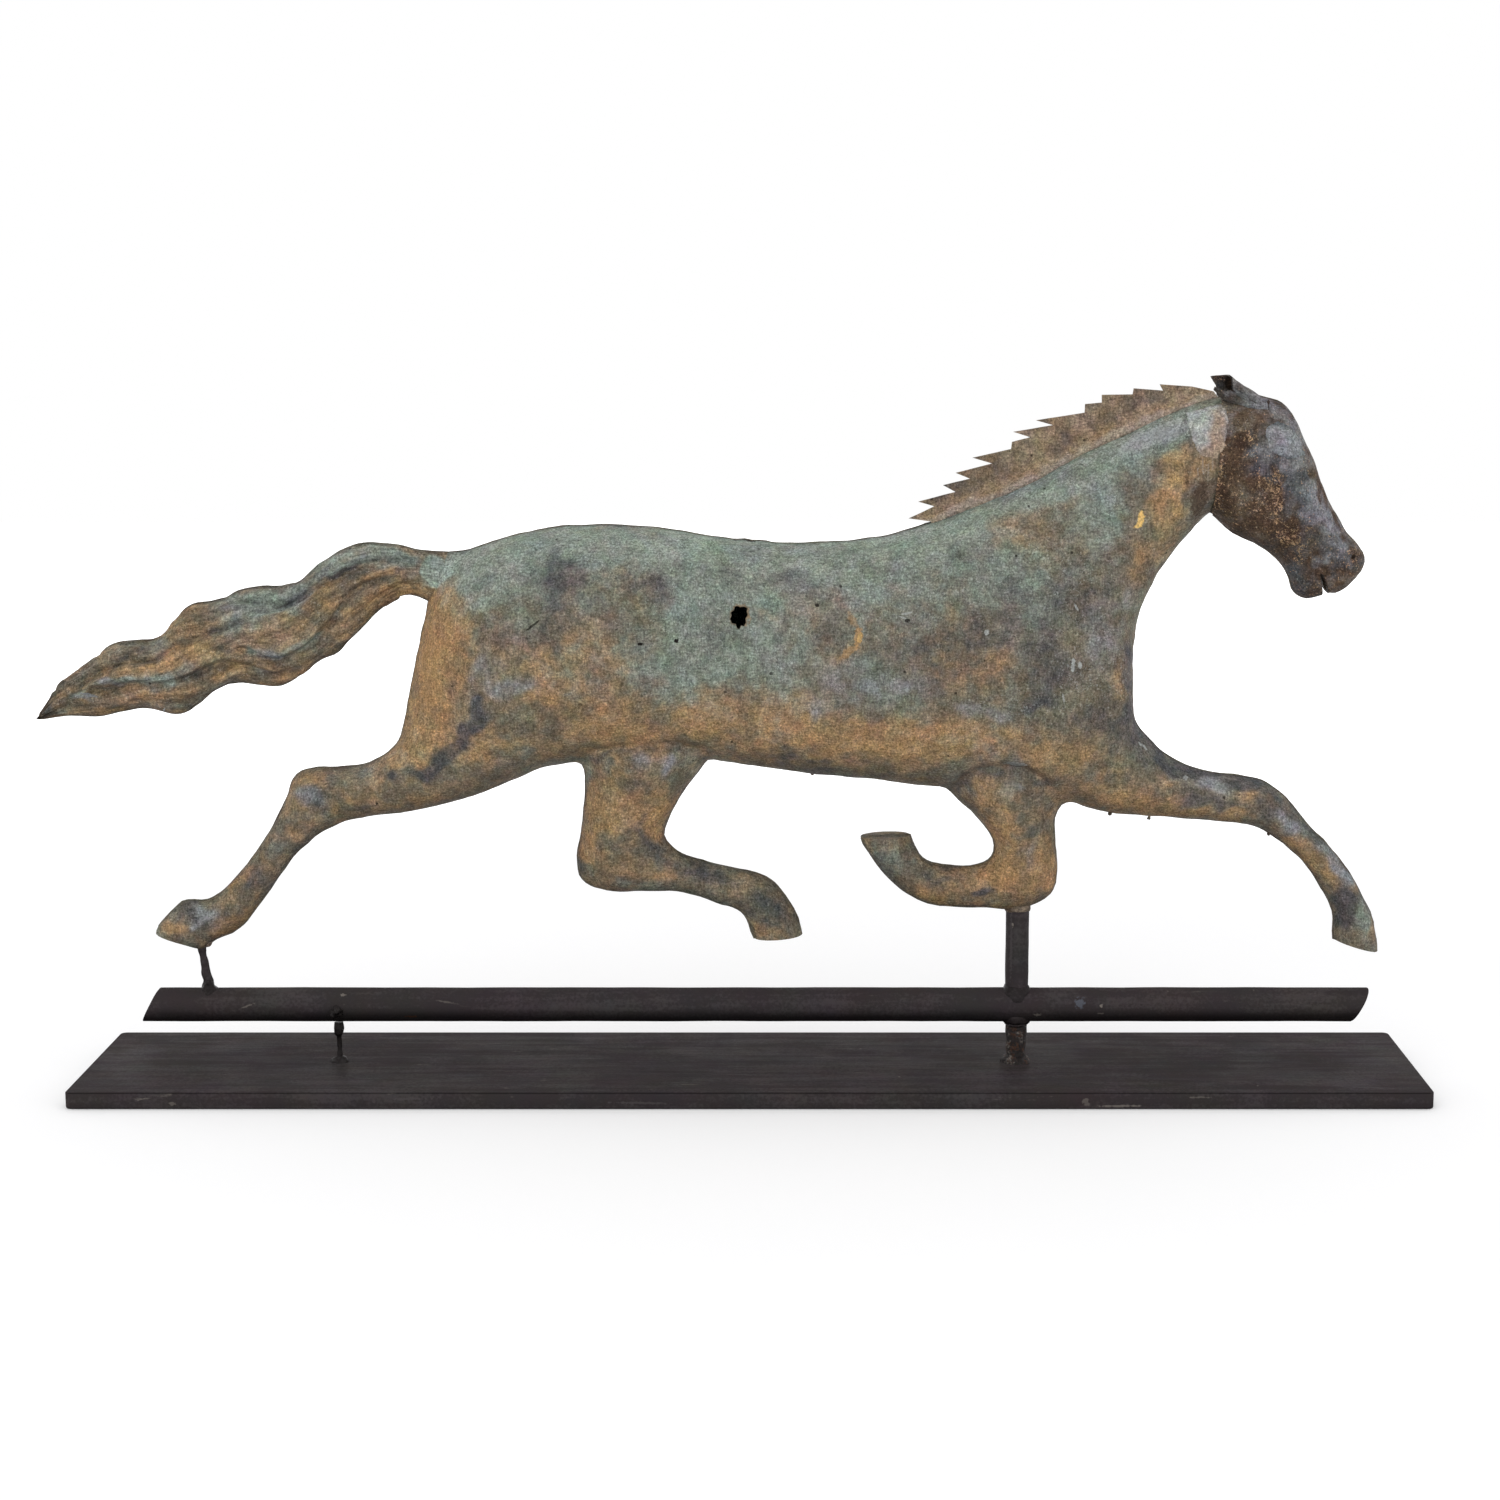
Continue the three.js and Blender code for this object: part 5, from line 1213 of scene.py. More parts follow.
HEAD_GREY = [
    (1240, 490, 28, 36, -0.5), (1288, 440, 24, 20, 0.75, 15), (1262, 448, 14, 10, 0.35),
    (1320, 506, 6, 22, 0.9, -32), (1334, 532, 7, 18, 0.75, -35), (1290, 466, 16, 7, 0.55),
    (1276, 407, 16, 9, 0.55, 20), (1326, 524, 12, 14, 0.5, -30), (1218, 424, 12, 20, 0.7),
    (1346, 548, 7, 9, 0.5, -30), (1300, 470, 14, 8, 0.4), (1308, 488, 7, 16, 0.4, -30),
    (1322, 556, 12, 8, 0.35), (1299, 424, 8, 12, 0.5, -40), (1278, 476, 10, 8, 0.3),
]
HEAD_SLATE_LINES = [
    ([(1282, 463), (1300, 480), (1314, 502)], 10, 0.9), ([(1300, 458), (1306, 476), (1312, 490)], 8, 0.5),
    ([(1272, 402), (1286, 410), (1296, 426)], 3.5, 0.7),
]
HEAD_SLATE = [
    (1240, 490, 28, 36, -0.4), (1296, 490, 18, 14, 0.8, 30), (1284, 407, 8, 7, 0.6),
    (1320, 556, 12, 9, 0.7), (1264, 462, 12, 12, 0.4), (1306, 520, 8, 12, 0.5, -30), (1350, 544, 6, 6, 0.7),
    (1256, 432, 6, 10, 0.3),
]
HEAD_EMBER_LINES = [
    ([(1266, 478), (1274, 490), (1277, 500), (1279, 520)], 8, 0.5),
    ([(1284, 534), (1296, 548), (1302, 556)], 6, 0.45), ([(1216, 462), (1216, 480), (1211, 508)], 8, 0.55),
]
HEAD_EMBER = [
    (1309, 529.5, 5, 5, 0.7), (1258, 505, 20, 14, 0.28), (1353, 558, 8, 8, 0.45), (1249, 438, 9, 5, 0.42),
    (1204, 476, 9, 14, 0.4), (1326, 584, 10, 6, 0.25), (1236, 486, 30, 30, 0.08), (1312, 590, 10, 6, 0.2),
    (1274, 482, 10, 6, 0.3), (1297, 540, 14, 10, 0.28, 40),
]


class MakeHead(bpy.types.Operator):
    """Raise the head with its mouth, nostrils, eyes and jaws"""
    bl_idname = "vane.head"
    bl_label = "Head"

    def execute(self, context):
        bm = bmesh.new()
        shares = [0.97, 0.97] + HEAD_WIDTH_SHARES[1:]
        loft(bm, [HEAD_ROOT] + HEAD_EDGES, [share * HEAD_HALF_WIDTH for share in shares], 64, 2.2, 6)
        skin = skinned(mesh_of(bm, "head"), sizes().head_step)
        relief = Relief(skin)
        relief.soften(3, 0.5)
        seen = relief.seen
        rise = 0.001 * sum_of(seen, HEAD_SWELLS, HEAD_FOLDS)
        rise += sizes().hammer_depth * (1.0 * wander(relief.places, 0.012, 2.0)
                                        + 0.5 * wander(relief.places, 0.004, 6.0))
        rise *= 1 - near_line(seen, [HEAD_EDGES[0][:2], HEAD_EDGES[0][2:]], 9.0)
        relief.push(rise)
        seen = strayed(relief.seen, relief.places, 4.0, 0.006, 3.0)
        clouds = wander(relief.places, 0.020, 5.0)
        relief.keep("russet", 0.20 + 0.3 * clouds + sum_of(seen, HEAD_RUSSET))
        relief.keep("plum", 0.16 - 0.3 * clouds + sum_of(seen, HEAD_PLUM))
        relief.keep("grey", 0.12 + sum_of(seen, HEAD_GREY))
        relief.keep("slate", 0.10 + sum_of(seen, HEAD_SLATE, HEAD_SLATE_LINES))
        relief.keep("ember", 0.28 + 0.65 * sum_of(seen, HEAD_EMBER, HEAD_EMBER_LINES))
        relief.keep("pale", np.full(len(seen), 0.4))
        # Painted shade: dark in the nostril and below the eye.
        hollow_shades = sum_of(relief.seen, [(1353.5, 557, 4, 2.4, 1.0, -45), (1249, 447, 8, 3, 0.7, 20)])
        relief.keep("hollow", hollow_shades)
        slit = prism([seam_point(x, y) for x, y in MOUTH_SLIT], -1.4, 1.4)
        bm = bm_of(with_modifiers(skin, less(slit)))
        cut_flat(bm, HEAD_EDGES[0][:2], HEAD_EDGES[0][2:], (1260, 460), 0.06, close=False)
        add_halves("head", mesh_of(bm, "head"), "head_copper", finish_named("head_patina"), None, "head")
        return {"FINISHED"}


TAIL_RIDGES = [
    ([(412, 556), (372, 556), (345, 566), (328, 574), (303, 590)], 3.5, 0.6),
    ([(250, 648), (276, 657), (300, 648), (318, 634)], 4, 0.6),
    ([(173, 680), (121, 680), (97, 683), (70, 696)], 4, 0.6),
    ([(262, 600), (240, 607), (216, 612), (196, 628)], 6, 0.5),
    ([(310, 606), (286, 626), (250, 634), (215, 642), (180, 654)], 7, 0.5),
    ([(395, 580), (372, 592), (350, 612), (336, 634)], 6, 0.5),
    ([(118, 700), (90, 700), (66, 708)], 5, 0.4), ([(300, 664), (276, 670), (250, 662)], 5, 0.4),
    ([(196, 690), (170, 694), (140, 692)], 5, 0.5),
]
# Colours of the tail, in picture pixels
TAIL_GREEN = [
    (262, 612, 30, 9, 0.5, -5), (240, 618, 30, 12, 0.7, -10), (150, 647, 26, 8, 0.6, -10),
    (330, 562, 60, 12, 0.55, -25), (290, 597, 12, 16, 0.5, 30), (400, 560, 40, 12, 0.4),
    (250, 600, 40, 12, 0.5),
]
# Green coat with painted highlights along the lit ridges of the locks.
TAIL_GREEN_AND_HIGHLIGHT_LINES = [
    ([(412, 556), (372, 556), (345, 566), (328, 574), (303, 590)], 4, 0.9),
    ([(173, 680), (121, 680), (97, 683), (70, 696)], 3.5, 0.8),
    ([(250, 648), (276, 657), (300, 648), (318, 634)], 3.5, 0.6),
    ([(250, 612), (280, 608), (300, 594)], 4, 0.5),
]
TAIL_GILT = [
    (182, 655, 26, 8, 1.1, -12), (167, 665, 18, 7, 0.6, -10), (382, 572, 24, 12, 0.4),
    (325, 607, 24, 20, 0.35, -30), (296, 677, 30, 8, 0.45), (143, 696, 26, 8, 0.45), (105, 711, 26, 5, 0.7),
    (400, 592, 24, 8, 0.6, -10), (370, 604, 24, 8, 0.4, -30), (230, 672, 24, 8, 0.3),
]
# Dark stains, with painted shade in the grooves between the locks.
TAIL_SOOT_AND_SHADE = [
    (216, 630, 12, 4, 0.8), (340, 573, 13, 3.5, 1, -25), (38, 716, 12, 7, 0.9, -40),
    (310, 625, 16, 20, 0.3, -40), (356, 575, 16, 5, 0.4, -20), (190, 612, 16, 8, 0.3, -20),
]
# Blue-grey bloom with painted highlights along the lit ridges of the locks.
TAIL_MIST_AND_HIGHLIGHT = [
    (300, 598, 18, 9, 0.8, -30), (275, 656, 16, 4, 0.9, 6), (82, 696, 14, 4, 0.9, 14),
    (232, 608, 22, 4, 0.6), (110, 682, 20, 3, 0.7, 4), (348, 563, 30, 4, 0.5, -22), (410, 570, 16, 12, 0.5),
]


def tail_flow(seen):
    """How far along the tail each pixel lies, from 0 to 1, and how far across it, from -1 to 1."""
    middles = [((x1 + x2) / 2, (y1 + y2) / 2) for x1, y1, x2, y2 in TAIL_EDGES]
    halves = [math.hypot(x1 - x2, y1 - y2) / 2 for x1, y1, x2, y2 in TAIL_EDGES]
    steps = [math.dist(a, b) for a, b in zip(middles, middles[1:])]
    shares = np.concatenate(([0], np.cumsum(steps))) / sum(steps)
    distance, along = polyline_distance(seen, middles)
    below = seen[:, 1] > np.interp(-seen[:, 0], [-x for x, _ in middles], [y for _, y in middles])
    return along, distance * np.where(below, 1, -1) / np.interp(along, shares, halves)


class MakeTail(bpy.types.Operator):
    """Raise the tail with its flowing locks"""
    bl_idname = "vane.tail"
    bl_label = "Tail"

    def execute(self, context):
        bm = bmesh.new()
        loft(bm, TAIL_EDGES, [share * TAIL_HALF_WIDTH for share in TAIL_WIDTH_SHARES], 56, 2.0, 5)
        skin = skinned(mesh_of(bm, "tail"), sizes().head_step)
        relief = Relief(skin)
        relief.soften(3, 0.5)
        depth = sizes().lock_depth
        seen = relief.seen
        amount = np.zeros(len(seen))
        for groove in TAIL_GROOVES:
            amount -= depth * near_line(seen, groove, 3.8, 0.15)
            amount += 0.45 * depth * near_line(seen, [(x, y - 8) for x, y in groove], 5.0, 0.2)
        for ridge, width, height in TAIL_RIDGES:
            amount += height * depth * near_line(seen, ridge, width, 0.2)
        along, across = tail_flow(seen)
        flow = np.column_stack((along * 0.020, across * 0.016, np.sign(relief.places[:, 1]) * 0.01))
        amount += 0.75 * depth * wander(flow, 0.0042, 4.0) + 0.50 * depth * wander(flow, 0.0017, 6.0)
        amount += sizes().hammer_depth * 0.5 * wander(relief.places, 0.009, 4.0)
        edge = np.clip((1 - np.abs(across)) / 0.12, 0, 1)
        root = np.clip((430 - seen[:, 0]) / 30, 0, 1)
        relief.push(amount * (0.25 + 0.75 * edge) * (0.3 + 0.7 * root))
        relief.soften(1, 0.3)

        along, across = tail_flow(relief.seen)
        flow = np.column_stack((along * 0.020, across * 0.016, np.sign(relief.places[:, 1]) * 0.01))
        relief.keep_vector("flow", flow)
        seen = strayed(relief.seen, relief.places, 2.5, 0.008, 3.0)
        drawn = wander(flow, 0.005, 2.0)
        relief.keep("green", 0.10 + 0.3 * drawn + 0.75 * sum_of(seen, TAIL_GREEN, TAIL_GREEN_AND_HIGHLIGHT_LINES))
        relief.keep("gilt", 0.44 - 0.25 * drawn + sum_of(seen, TAIL_GILT))
        # Painted shade along every groove between the locks, with dark stains.
        relief.keep("soot", 0.12 + 0.25 * wander(flow, 0.004, 12.0)
                    + sum_of(seen, TAIL_SOOT_AND_SHADE, [(groove, 3.0, 0.35) for groove in TAIL_GROOVES]))
        relief.keep("mist", 0.12 + sum_of(seen, TAIL_MIST_AND_HIGHLIGHT))
        relief.keep("bloom", sum_of(seen, [(432, 571, 11, 15, 2.2)]))
        relief.keep("pale", np.full(len(seen), 0.3))
        add_halves("tail", skin, "body_copper", finish_named("tail_patina"), None, "tail")
        return {"FINISHED"}


def sheet_bm(points, step):
    """A flat sheet in the seam plane, cut into small faces."""
    bm = bmesh.new()
    bm.faces.new([bm.verts.new((point.x, 0, point.z)) for point in points])
    for axis in (0, 2):
        low = min(point[axis] for point in points)
        high = max(point[axis] for point in points)
        normal = Vector((0, 0, 0))
        normal[axis] = 1
        for place in np.arange(low + step, high, step):
            bmesh.ops.bisect_plane(bm, geom=bm.verts[:] + bm.edges[:] + bm.faces[:],
                                   plane_co=normal * float(place), plane_no=normal)
    return bm


class MakeMane(bpy.types.Operator):
    """Cut the saw-tooth mane from sheet, set in the crest with a fillet of solder"""
    bl_idname = "vane.mane"
    bl_label = "Mane"

    def execute(self, context):
        crest = [seam_point(x, y) for x, y in CREST_LINE]
        seat = Vector((0.004, 0, -0.008))
        outline = [seam_point(x, y) for x, y in MANE_EDGE] + [point + seat for point in crest]
        mesh = with_modifiers(mesh_of(sheet_bm(outline, 0.0022), "mane"), walled(sizes().mane_thickness, 0.0))
        relief = Relief(mesh)
        side = np.sign(relief.places[:, 1])
        distance, _ = polyline_distance(relief.seen, CREST_LINE)
        above = np.clip(distance / 14, 0, 1)
        foot = np.exp(-(distance / 7) ** 2)
        relief.places[:, 1] += side * sizes().mane_flare * foot
        wave = wander(relief.places, 0.020, 7.0) * 0.0022 + wander(relief.places, 0.007, 4.0) * 0.0010
        relief.places[:, 1] += above * wave
        relief.refresh()
        seen = strayed(relief.seen, relief.places, 3.0, 0.006, 2.0)
        distance, _ = polyline_distance(seen, CREST_LINE)
        relief.keep("foot", 1.1 * np.exp(-(distance / 6) ** 2))
        relief.keep("tips", 0.25 + np.clip(distance / 26, 0, 0.8))
        add_piece("mane", soft_shaded(mesh, 50), "vane", "mane_copper", finish_named("mane_patina"),
                  "mane_sheet")
        return {"FINISHED"}


# The sections of an ear, from its root to past its mouth: the two outline pixels and the half width
EAR_SECTIONS = [
    (1269.5, 400.5, 1269.5, 414.5, 0.005), (1258, 394.5, 1256, 415, 0.006),
    (1247, 387.5, 1243, 411.5, 0.0064), (1237.5, 380.5, 1231, 404.5, 0.0062),
    (1231, 375.5, 1221, 396.5, 0.0058), (1221, 372, 1211, 388, 0.0054), (1209, 367, 1201, 379, 0.005),
]
# What is cut from the near wall and from the far wall to open the ear
NEAR_NOTCH = [
    (1231.6, 358), (1231.4, 389.2), (1224, 391.6), (1213.6, 386.4), (1213, 402), (1192, 402), (1192, 356),
]
FAR_NOTCH = [
    (1233, 356), (1232, 374.6), (1212, 376.6), (1218.5, 387), (1226, 402), (1192, 402), (1192, 356),
]
EAR_FOLD = [(1232, 390), (1240, 394), (1248, 399.5), (1258, 402.5), (1269, 401.5)]


class MakeEars(bpy.types.Operator):
    """Roll the two ears from sheet, open at their back ends"""
    bl_idname = "vane.ears"
    bl_label = "Ears"

    def execute(self, context):
        reach = sizes().ear_spacing / 2
        for side, side_name, shorter in ((-1, "right", 0), (1, "left", 8)):
            bm = bmesh.new()
            rows = []
            for row in EAR_SECTIONS:
                high, low = seam_point(*row[:2], reach), seam_point(*row[2:4], reach)
                rows.append((high.x, high.z, low.x, low.z, row[4]))
            loft_places(bm, rows, 40, 2.0, 6)
            cuts = [walled(sizes().ear_wall)]
            for outline, wall in ((NEAR_NOTCH, side), (FAR_NOTCH, -side)):
                span = (-0.5, 0.0) if wall < 0 else (0.0, 0.5)
                cutter = prism([seam_point(x + shorter, y, reach) for x, y in outline], *span)
                cuts.append(less(cutter))
            mesh = with_modifiers(mesh_of(bm, f"rolled_ear_{side_name}"), *cuts)
            mesh.transform(Matrix.Translation((0, side * reach, 0)))
            relief = Relief(mesh)
            relief.push(0.0008 * wander(relief.places, 0.006, 3.0 + side)
                        - 0.0014 * near_line(relief.seen, EAR_FOLD, 1.8, 0.1))
            seen = relief.seen
            # Painted shade at the ear's open mouth, along its fold and where it meets the head: more plum and
            # less grey, and darker marks there.
            hollow = sum_of(seen, [(1219, 381, 8, 9, 1.0)])
            relief.keep("russet", np.full(len(seen), 0.45))
            relief.keep("grey", 0.62 + sum_of(seen, [(1262, 407, 9, 7, 0.4)]) - 0.6 * hollow)
            relief.keep("slate", 0.32 + sum_of(seen, [(1246, 396, 14, 6, 0.4, 30)], [(EAR_FOLD, 2.0, 0.6)])
                        - 0.6 * hollow)
            relief.keep("plum", 0.9 * hollow)
            relief.keep("ember", 0.2 + 0.3 * hollow)
            relief.keep("hollow", sum_of(seen, [(1228.5, 383, 3.6, 8, 1.2)],
                                         [(EAR_FOLD, 1.4, 0.7), ([(1269, 401), (1269, 414)], 1.2, 0.8)]))
            add_piece(f"rolled_ear_{side_name}", soft_shaded(mesh, 50), "vane", "head_copper",
                      finish_named("head_patina"), f"ear_{side_name}")
        return {"FINISHED"}


PATCH_WALL = 0.0006
PATCH_BLUSH = [
    (1219, 430, 11, 28, 1), (1208, 454, 16, 9, 0.9), (1272, 440, 9, 14, 0.6), (1292, 452, 12, 8, 0.4),
]


def wiped_patch(name, outline, rise, feather):
    """Solder wiped over the copper on the right side, thin towards its ragged border."""
    pieces = [bpy.data.objects[key] for key in ("horse_right_half", "head_right_half")]
    graph = bpy.context.evaluated_depsgraph_get()
    trees = [BVHTree.FromObject(piece, graph) for piece in pieces]
    low = np.min(outline, axis=0) - 2
    high = np.max(outline, axis=0) + 2
    step = 1.0
    columns = int((high[0] - low[0]) / step)
    rows = int((high[1] - low[1]) / step)
    bm = bmesh.new()
    bmesh.ops.create_grid(bm, x_segments=columns, y_segments=rows, size=0.5)
    bmesh.ops.transform(bm, matrix=Matrix.Diagonal((high[0] - low[0], high[1] - low[1], 1, 1)), verts=bm.verts)
    bmesh.ops.translate(bm, vec=((high[0] + low[0]) / 2, (high[1] + low[1]) / 2, 0), verts=bm.verts)
    closed = list(outline) + [outline[0]]
    pixels = np.array([vert.co.xy for vert in bm.verts])
    distance, _ = polyline_distance(pixels, closed)
    inside = np.array([inside_outline(pixel, outline) for pixel in pixels])
    fray = np.array([1.6 * noise.noise(Vector((x / 5, y / 5, 2.0))) for x, y in pixels])
    depth = np.where(inside, distance, -distance) + fray
    eye = Vector(VIEW_EYE)
    gone = []
    border = bm.verts.layers.float.new("border")
    for vert, share in zip(bm.verts, depth):
        if share < 0:
            gone.append(vert)
            continue
        ray = (seam_point(vert.co.x, vert.co.y) - eye).normalized()
        hits = [tree.ray_cast(eye, ray) for tree in trees]
        hits = [hit for hit in hits if hit[0]]
        if not hits:
            gone.append(vert)
            continue
        place, normal, _, _ = min(hits, key=lambda hit: hit[3])
        raised = min(share / feather, 1.0)
        vert.co = place + normal * (rise * (raised * 1.1 - 0.1))
        vert[border] = 1 - raised
    bmesh.ops.delete(bm, geom=gone, context="VERTS")
    loose = [vert for vert in bm.verts if not vert.link_faces]
    bmesh.ops.delete(bm, geom=loose, context="VERTS")
    bmesh.ops.recalc_face_normals(bm, faces=bm.faces[:])
    if sum(face.normal.y for face in bm.faces) > 0:
        bmesh.ops.reverse_faces(bm, faces=bm.faces[:])
    mesh = with_modifiers(mesh_of(bm, name), walled(PATCH_WALL))
    relief = Relief(mesh)
    relief.keep("blush", sum_of(relief.seen, PATCH_BLUSH))
    return soft_shaded(mesh, 60)


def inside_outline(pixel, outline):
    x, y = pixel
    inside = False
    for (x1, y1), (x2, y2) in zip(outline, outline[1:] + outline[:1]):
        if (y1 > y) != (y2 > y) and x < x1 + (y - y1) * (x2 - x1) / (y2 - y1):
            inside = not inside
    return inside


class MakeRepairs(bpy.types.Operator):
    """Wipe the repair patches over the neck joint and the forehead"""
    bl_idname = "vane.repairs"
    bl_label = "Repair Patches"

    def execute(self, context):
        rise = sizes().patch_rise
        neck = wiped_patch("neck_repair", NECK_PATCH, rise, 5.0)
        add_piece("neck_repair", neck, "vane", "solder", finish_named("neck_lead"), "neck_patch")
        forehead = wiped_patch("forehead_repair", FOREHEAD_PATCH, rise, 9.0)
        add_piece("forehead_repair", forehead, "vane", "solder", finish_named("brow_lead"), "forehead_patch")
        return {"FINISHED"}


# Round pieces, and the sizes of the rod, the post and the stand

ROD_WALL = 0.002
ROD_SLANT = math.radians(27)
ROD_END_BEVEL = 0.0005
POST_WALL = 0.0012
SPINDLE_NECK_RADIUS = 0.004
SHOULDER_GAP = 0.001  # from the spindle's shoulder up to the post
PLATE_CORNER = 0.004
PLATE_CHAMFER = 0.0009
PROP_TOP_PIXEL = (201, 943)
PROP_FOOT_PIXEL = (209.4, 986)
PROP_SEAT = 0.001  # how far the prop's foot is sunk into the rod
HOOF_FLAP_PIXEL = (199, 942.5)
# Drips under the seam: x, y in picture pixels, and half height in metres
DRIPS = [
    (1110, 811.5, 0.0022), (1149, 818, 0.0014), (1269, 833, 0.0018), (812, 773, 0.001), (640, 759, 0.0009),
]


def turned_bm(profile, sides):
    """A profile of (radius, height) pairs, turned about the upright axis."""
    bm = bmesh.new()
    verts = [bm.verts.new((radius, 0, z)) for radius, z in profile]
    edges = [bm.edges.new(pair) for pair in zip(verts, verts[1:])]
    bmesh.ops.spin(bm, geom=verts + edges, cent=(0, 0, 0), axis=(0, 0, 1), angle=2 * math.pi,
                   steps=sides, use_merge=True)
    bmesh.ops.remove_doubles(bm, verts=bm.verts[:], dist=1e-6)
    bmesh.ops.recalc_face_normals(bm, faces=bm.faces[:])
    return bm


def bevel(bm, edges, reach, segments):
    bmesh.ops.bevel(bm, geom=edges, offset=reach, offset_type="OFFSET", segments=segments, profile=0.5,
                    affect="EDGES", material=-1)


def column(low, high):
    """Axis and radius of an upright round solid, from its lowest and its highest corner."""
    return Vector(((low.x + high.x) / 2, 0, 0)), (high.x - low.x) / 2


def around(radius, height, *steps):
    """A profile given as steps out from a radius and up from a height."""
    return [(radius + out, height + up) for out, up in steps]


def roughened(mesh, amount, size, seed):
    relief = Relief(mesh)
    relief.push(amount * wander(relief.places, size, seed))
    return mesh


def rounded_profile(points, cuts):
    """The points of a profile with straight runs cut into short steps."""
    result = []
    for (r1, z1), (r2, z2) in zip(points, points[1:]):
        for t in np.linspace(0, 1, cuts, endpoint=False):
            result.append((r1 + t * (r2 - r1), z1 + t * (z2 - z1)))
    result.append(points[-1])
    return result


def add_round(name, profile, sides, at, body, slot, finish, lumps, replaced, lean=None, cuts=6):
    bm = turned_bm(rounded_profile(profile, cuts), sides)
    matrix = Matrix.Translation(at)
    if lean:
        matrix = matrix @ Vector((0, 0, 1)).rotation_difference(lean).to_matrix().to_4x4()
    bmesh.ops.transform(bm, matrix=matrix, verts=bm.verts)
    mesh = roughened(mesh_of(bm, name), *lumps)
    return add_piece(name, soft_shaded(mesh, 45), body, slot, finish_named(finish), *replaced)


def blob(name, at, reach, lumps, body, slot, finish, *replaced):
    """A lump of weld or solder."""
    bm = bmesh.new()
    bmesh.ops.create_icosphere(bm, subdivisions=4, radius=1.0)
    bmesh.ops.transform(bm, matrix=Matrix.Translation(at) @ Matrix.Diagonal((*reach, 1)), verts=bm.verts)
    mesh = roughened(mesh_of(bm, name), *lumps)
    return add_piece(name, soft_shaded(mesh, 60), body, slot, finish_named(finish), *replaced)


class MakeRod(bpy.types.Operator):
    """Cut the direction rod to its slanted ends"""
    bl_idname = "vane.rod"
    bl_label = "Direction Rod"

    def execute(self, context):
        low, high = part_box("direction_rod")
        radius = (high.y - low.y) / 2
        slope = math.tan(ROD_SLANT)
        tail = low.x + radius * slope
        hoof = high.x - radius * slope
        bm = bmesh.new()
        rings = []
        for ring_radius, x in [(radius, x) for x in np.linspace(tail, hoof, 60)] + [
                (radius - ROD_WALL, hoof), (radius - ROD_WALL, tail)]:
            ring = bmesh.ops.create_circle(bm, segments=48, radius=ring_radius)["verts"]
            matrix = Matrix.Translation((x, 0, 0)) @ Matrix.Rotation(math.pi / 2, 4, "Y")
            bmesh.ops.transform(bm, matrix=matrix, verts=ring)
            rings.append(ring)
        for near, far in zip(rings, rings[1:] + rings[:1]):
            bmesh.ops.bridge_loops(bm, edges=ring_edges(near, far))
        for vert in bm.verts:
            vert.co.x += vert.co.z * slope
        corners = [e for e in bm.edges if len(e.link_faces) == 2 and e.calc_face_angle(0) > math.radians(50)]
        bevel(bm, corners, ROD_END_BEVEL, 2)
        bmesh.ops.translate(bm, vec=(0, 0, ((low + high) / 2).z), verts=bm.verts)
        bmesh.ops.recalc_face_normals(bm, faces=bm.faces[:])
        mesh = roughened(mesh_of(bm, "turning_rod"), 0.0003, 0.03, 2.0)
        add_piece("turning_rod", soft_shaded(mesh, 35), "vane", "black_paint", finish_named("satin_paint"),
                  "direction_rod")
        return {"FINISHED"}


class MakePost(bpy.types.Operator):
    """Stand the post in the rod, with its welds and the collar of solder at the knee"""
    bl_idname = "vane.post"
    bl_label = "Post and Collar"

    def execute(self, context):
        low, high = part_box("socket_tube")
        axis, radius = column(low, high)
        bore = radius - POST_WALL
        walls = [(bore, low.z), (radius, low.z), (radius, high.z), (bore, high.z), (bore, low.z)]
        add_round("vane_post", walls, 48, axis, "vane", "black_paint", "post_paint", (0.0003, 0.012, 3.0),
                  ["socket_tube"], cuts=24)
        rod_low, rod_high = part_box("direction_rod")
        add_round("post_fillet_top",
                  around(radius, rod_high.z, (0, -0.008), (0.0027, -0.006), (0.0021, -0.0016),
                         (0.0009, 0.0002), (0.0002, 0.0016), (-0.0004, 0.0019), (0, -0.008)),
                  40, axis, "vane", "black_paint", "thick_paint", (0.0006, 0.004, 5.0), ["post_weld_top"],
                  cuts=4)
        add_round("post_fillet_under",
                  around(radius, rod_low.z, (0, 0.008), (0.0018, 0.004), (0.0013, 0), (0.0005, -0.0008),
                         (-0.0004, -0.001), (0, 0.008)),
                  40, axis, "vane", "black_paint", "thick_paint", (0.0005, 0.004, 6.0), ["post_weld_under"],
                  cuts=4)
        add_round("knee_solder",
                  around(radius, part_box("knee_collar")[0].z, (-0.0003, 0.0012), (0.0003, 0.0016),
                         (0.0005, 0.0028), (0.0007, 0.0042), (0.0009, 0.0054), (0, 0.0058),
                         (-0.0003, 0.0012)),
                  40, axis, "vane", "solder", "collar_solder", (0.0008, 0.004, 9.0), ["knee_collar"], cuts=4)
        return {"FINISHED"}


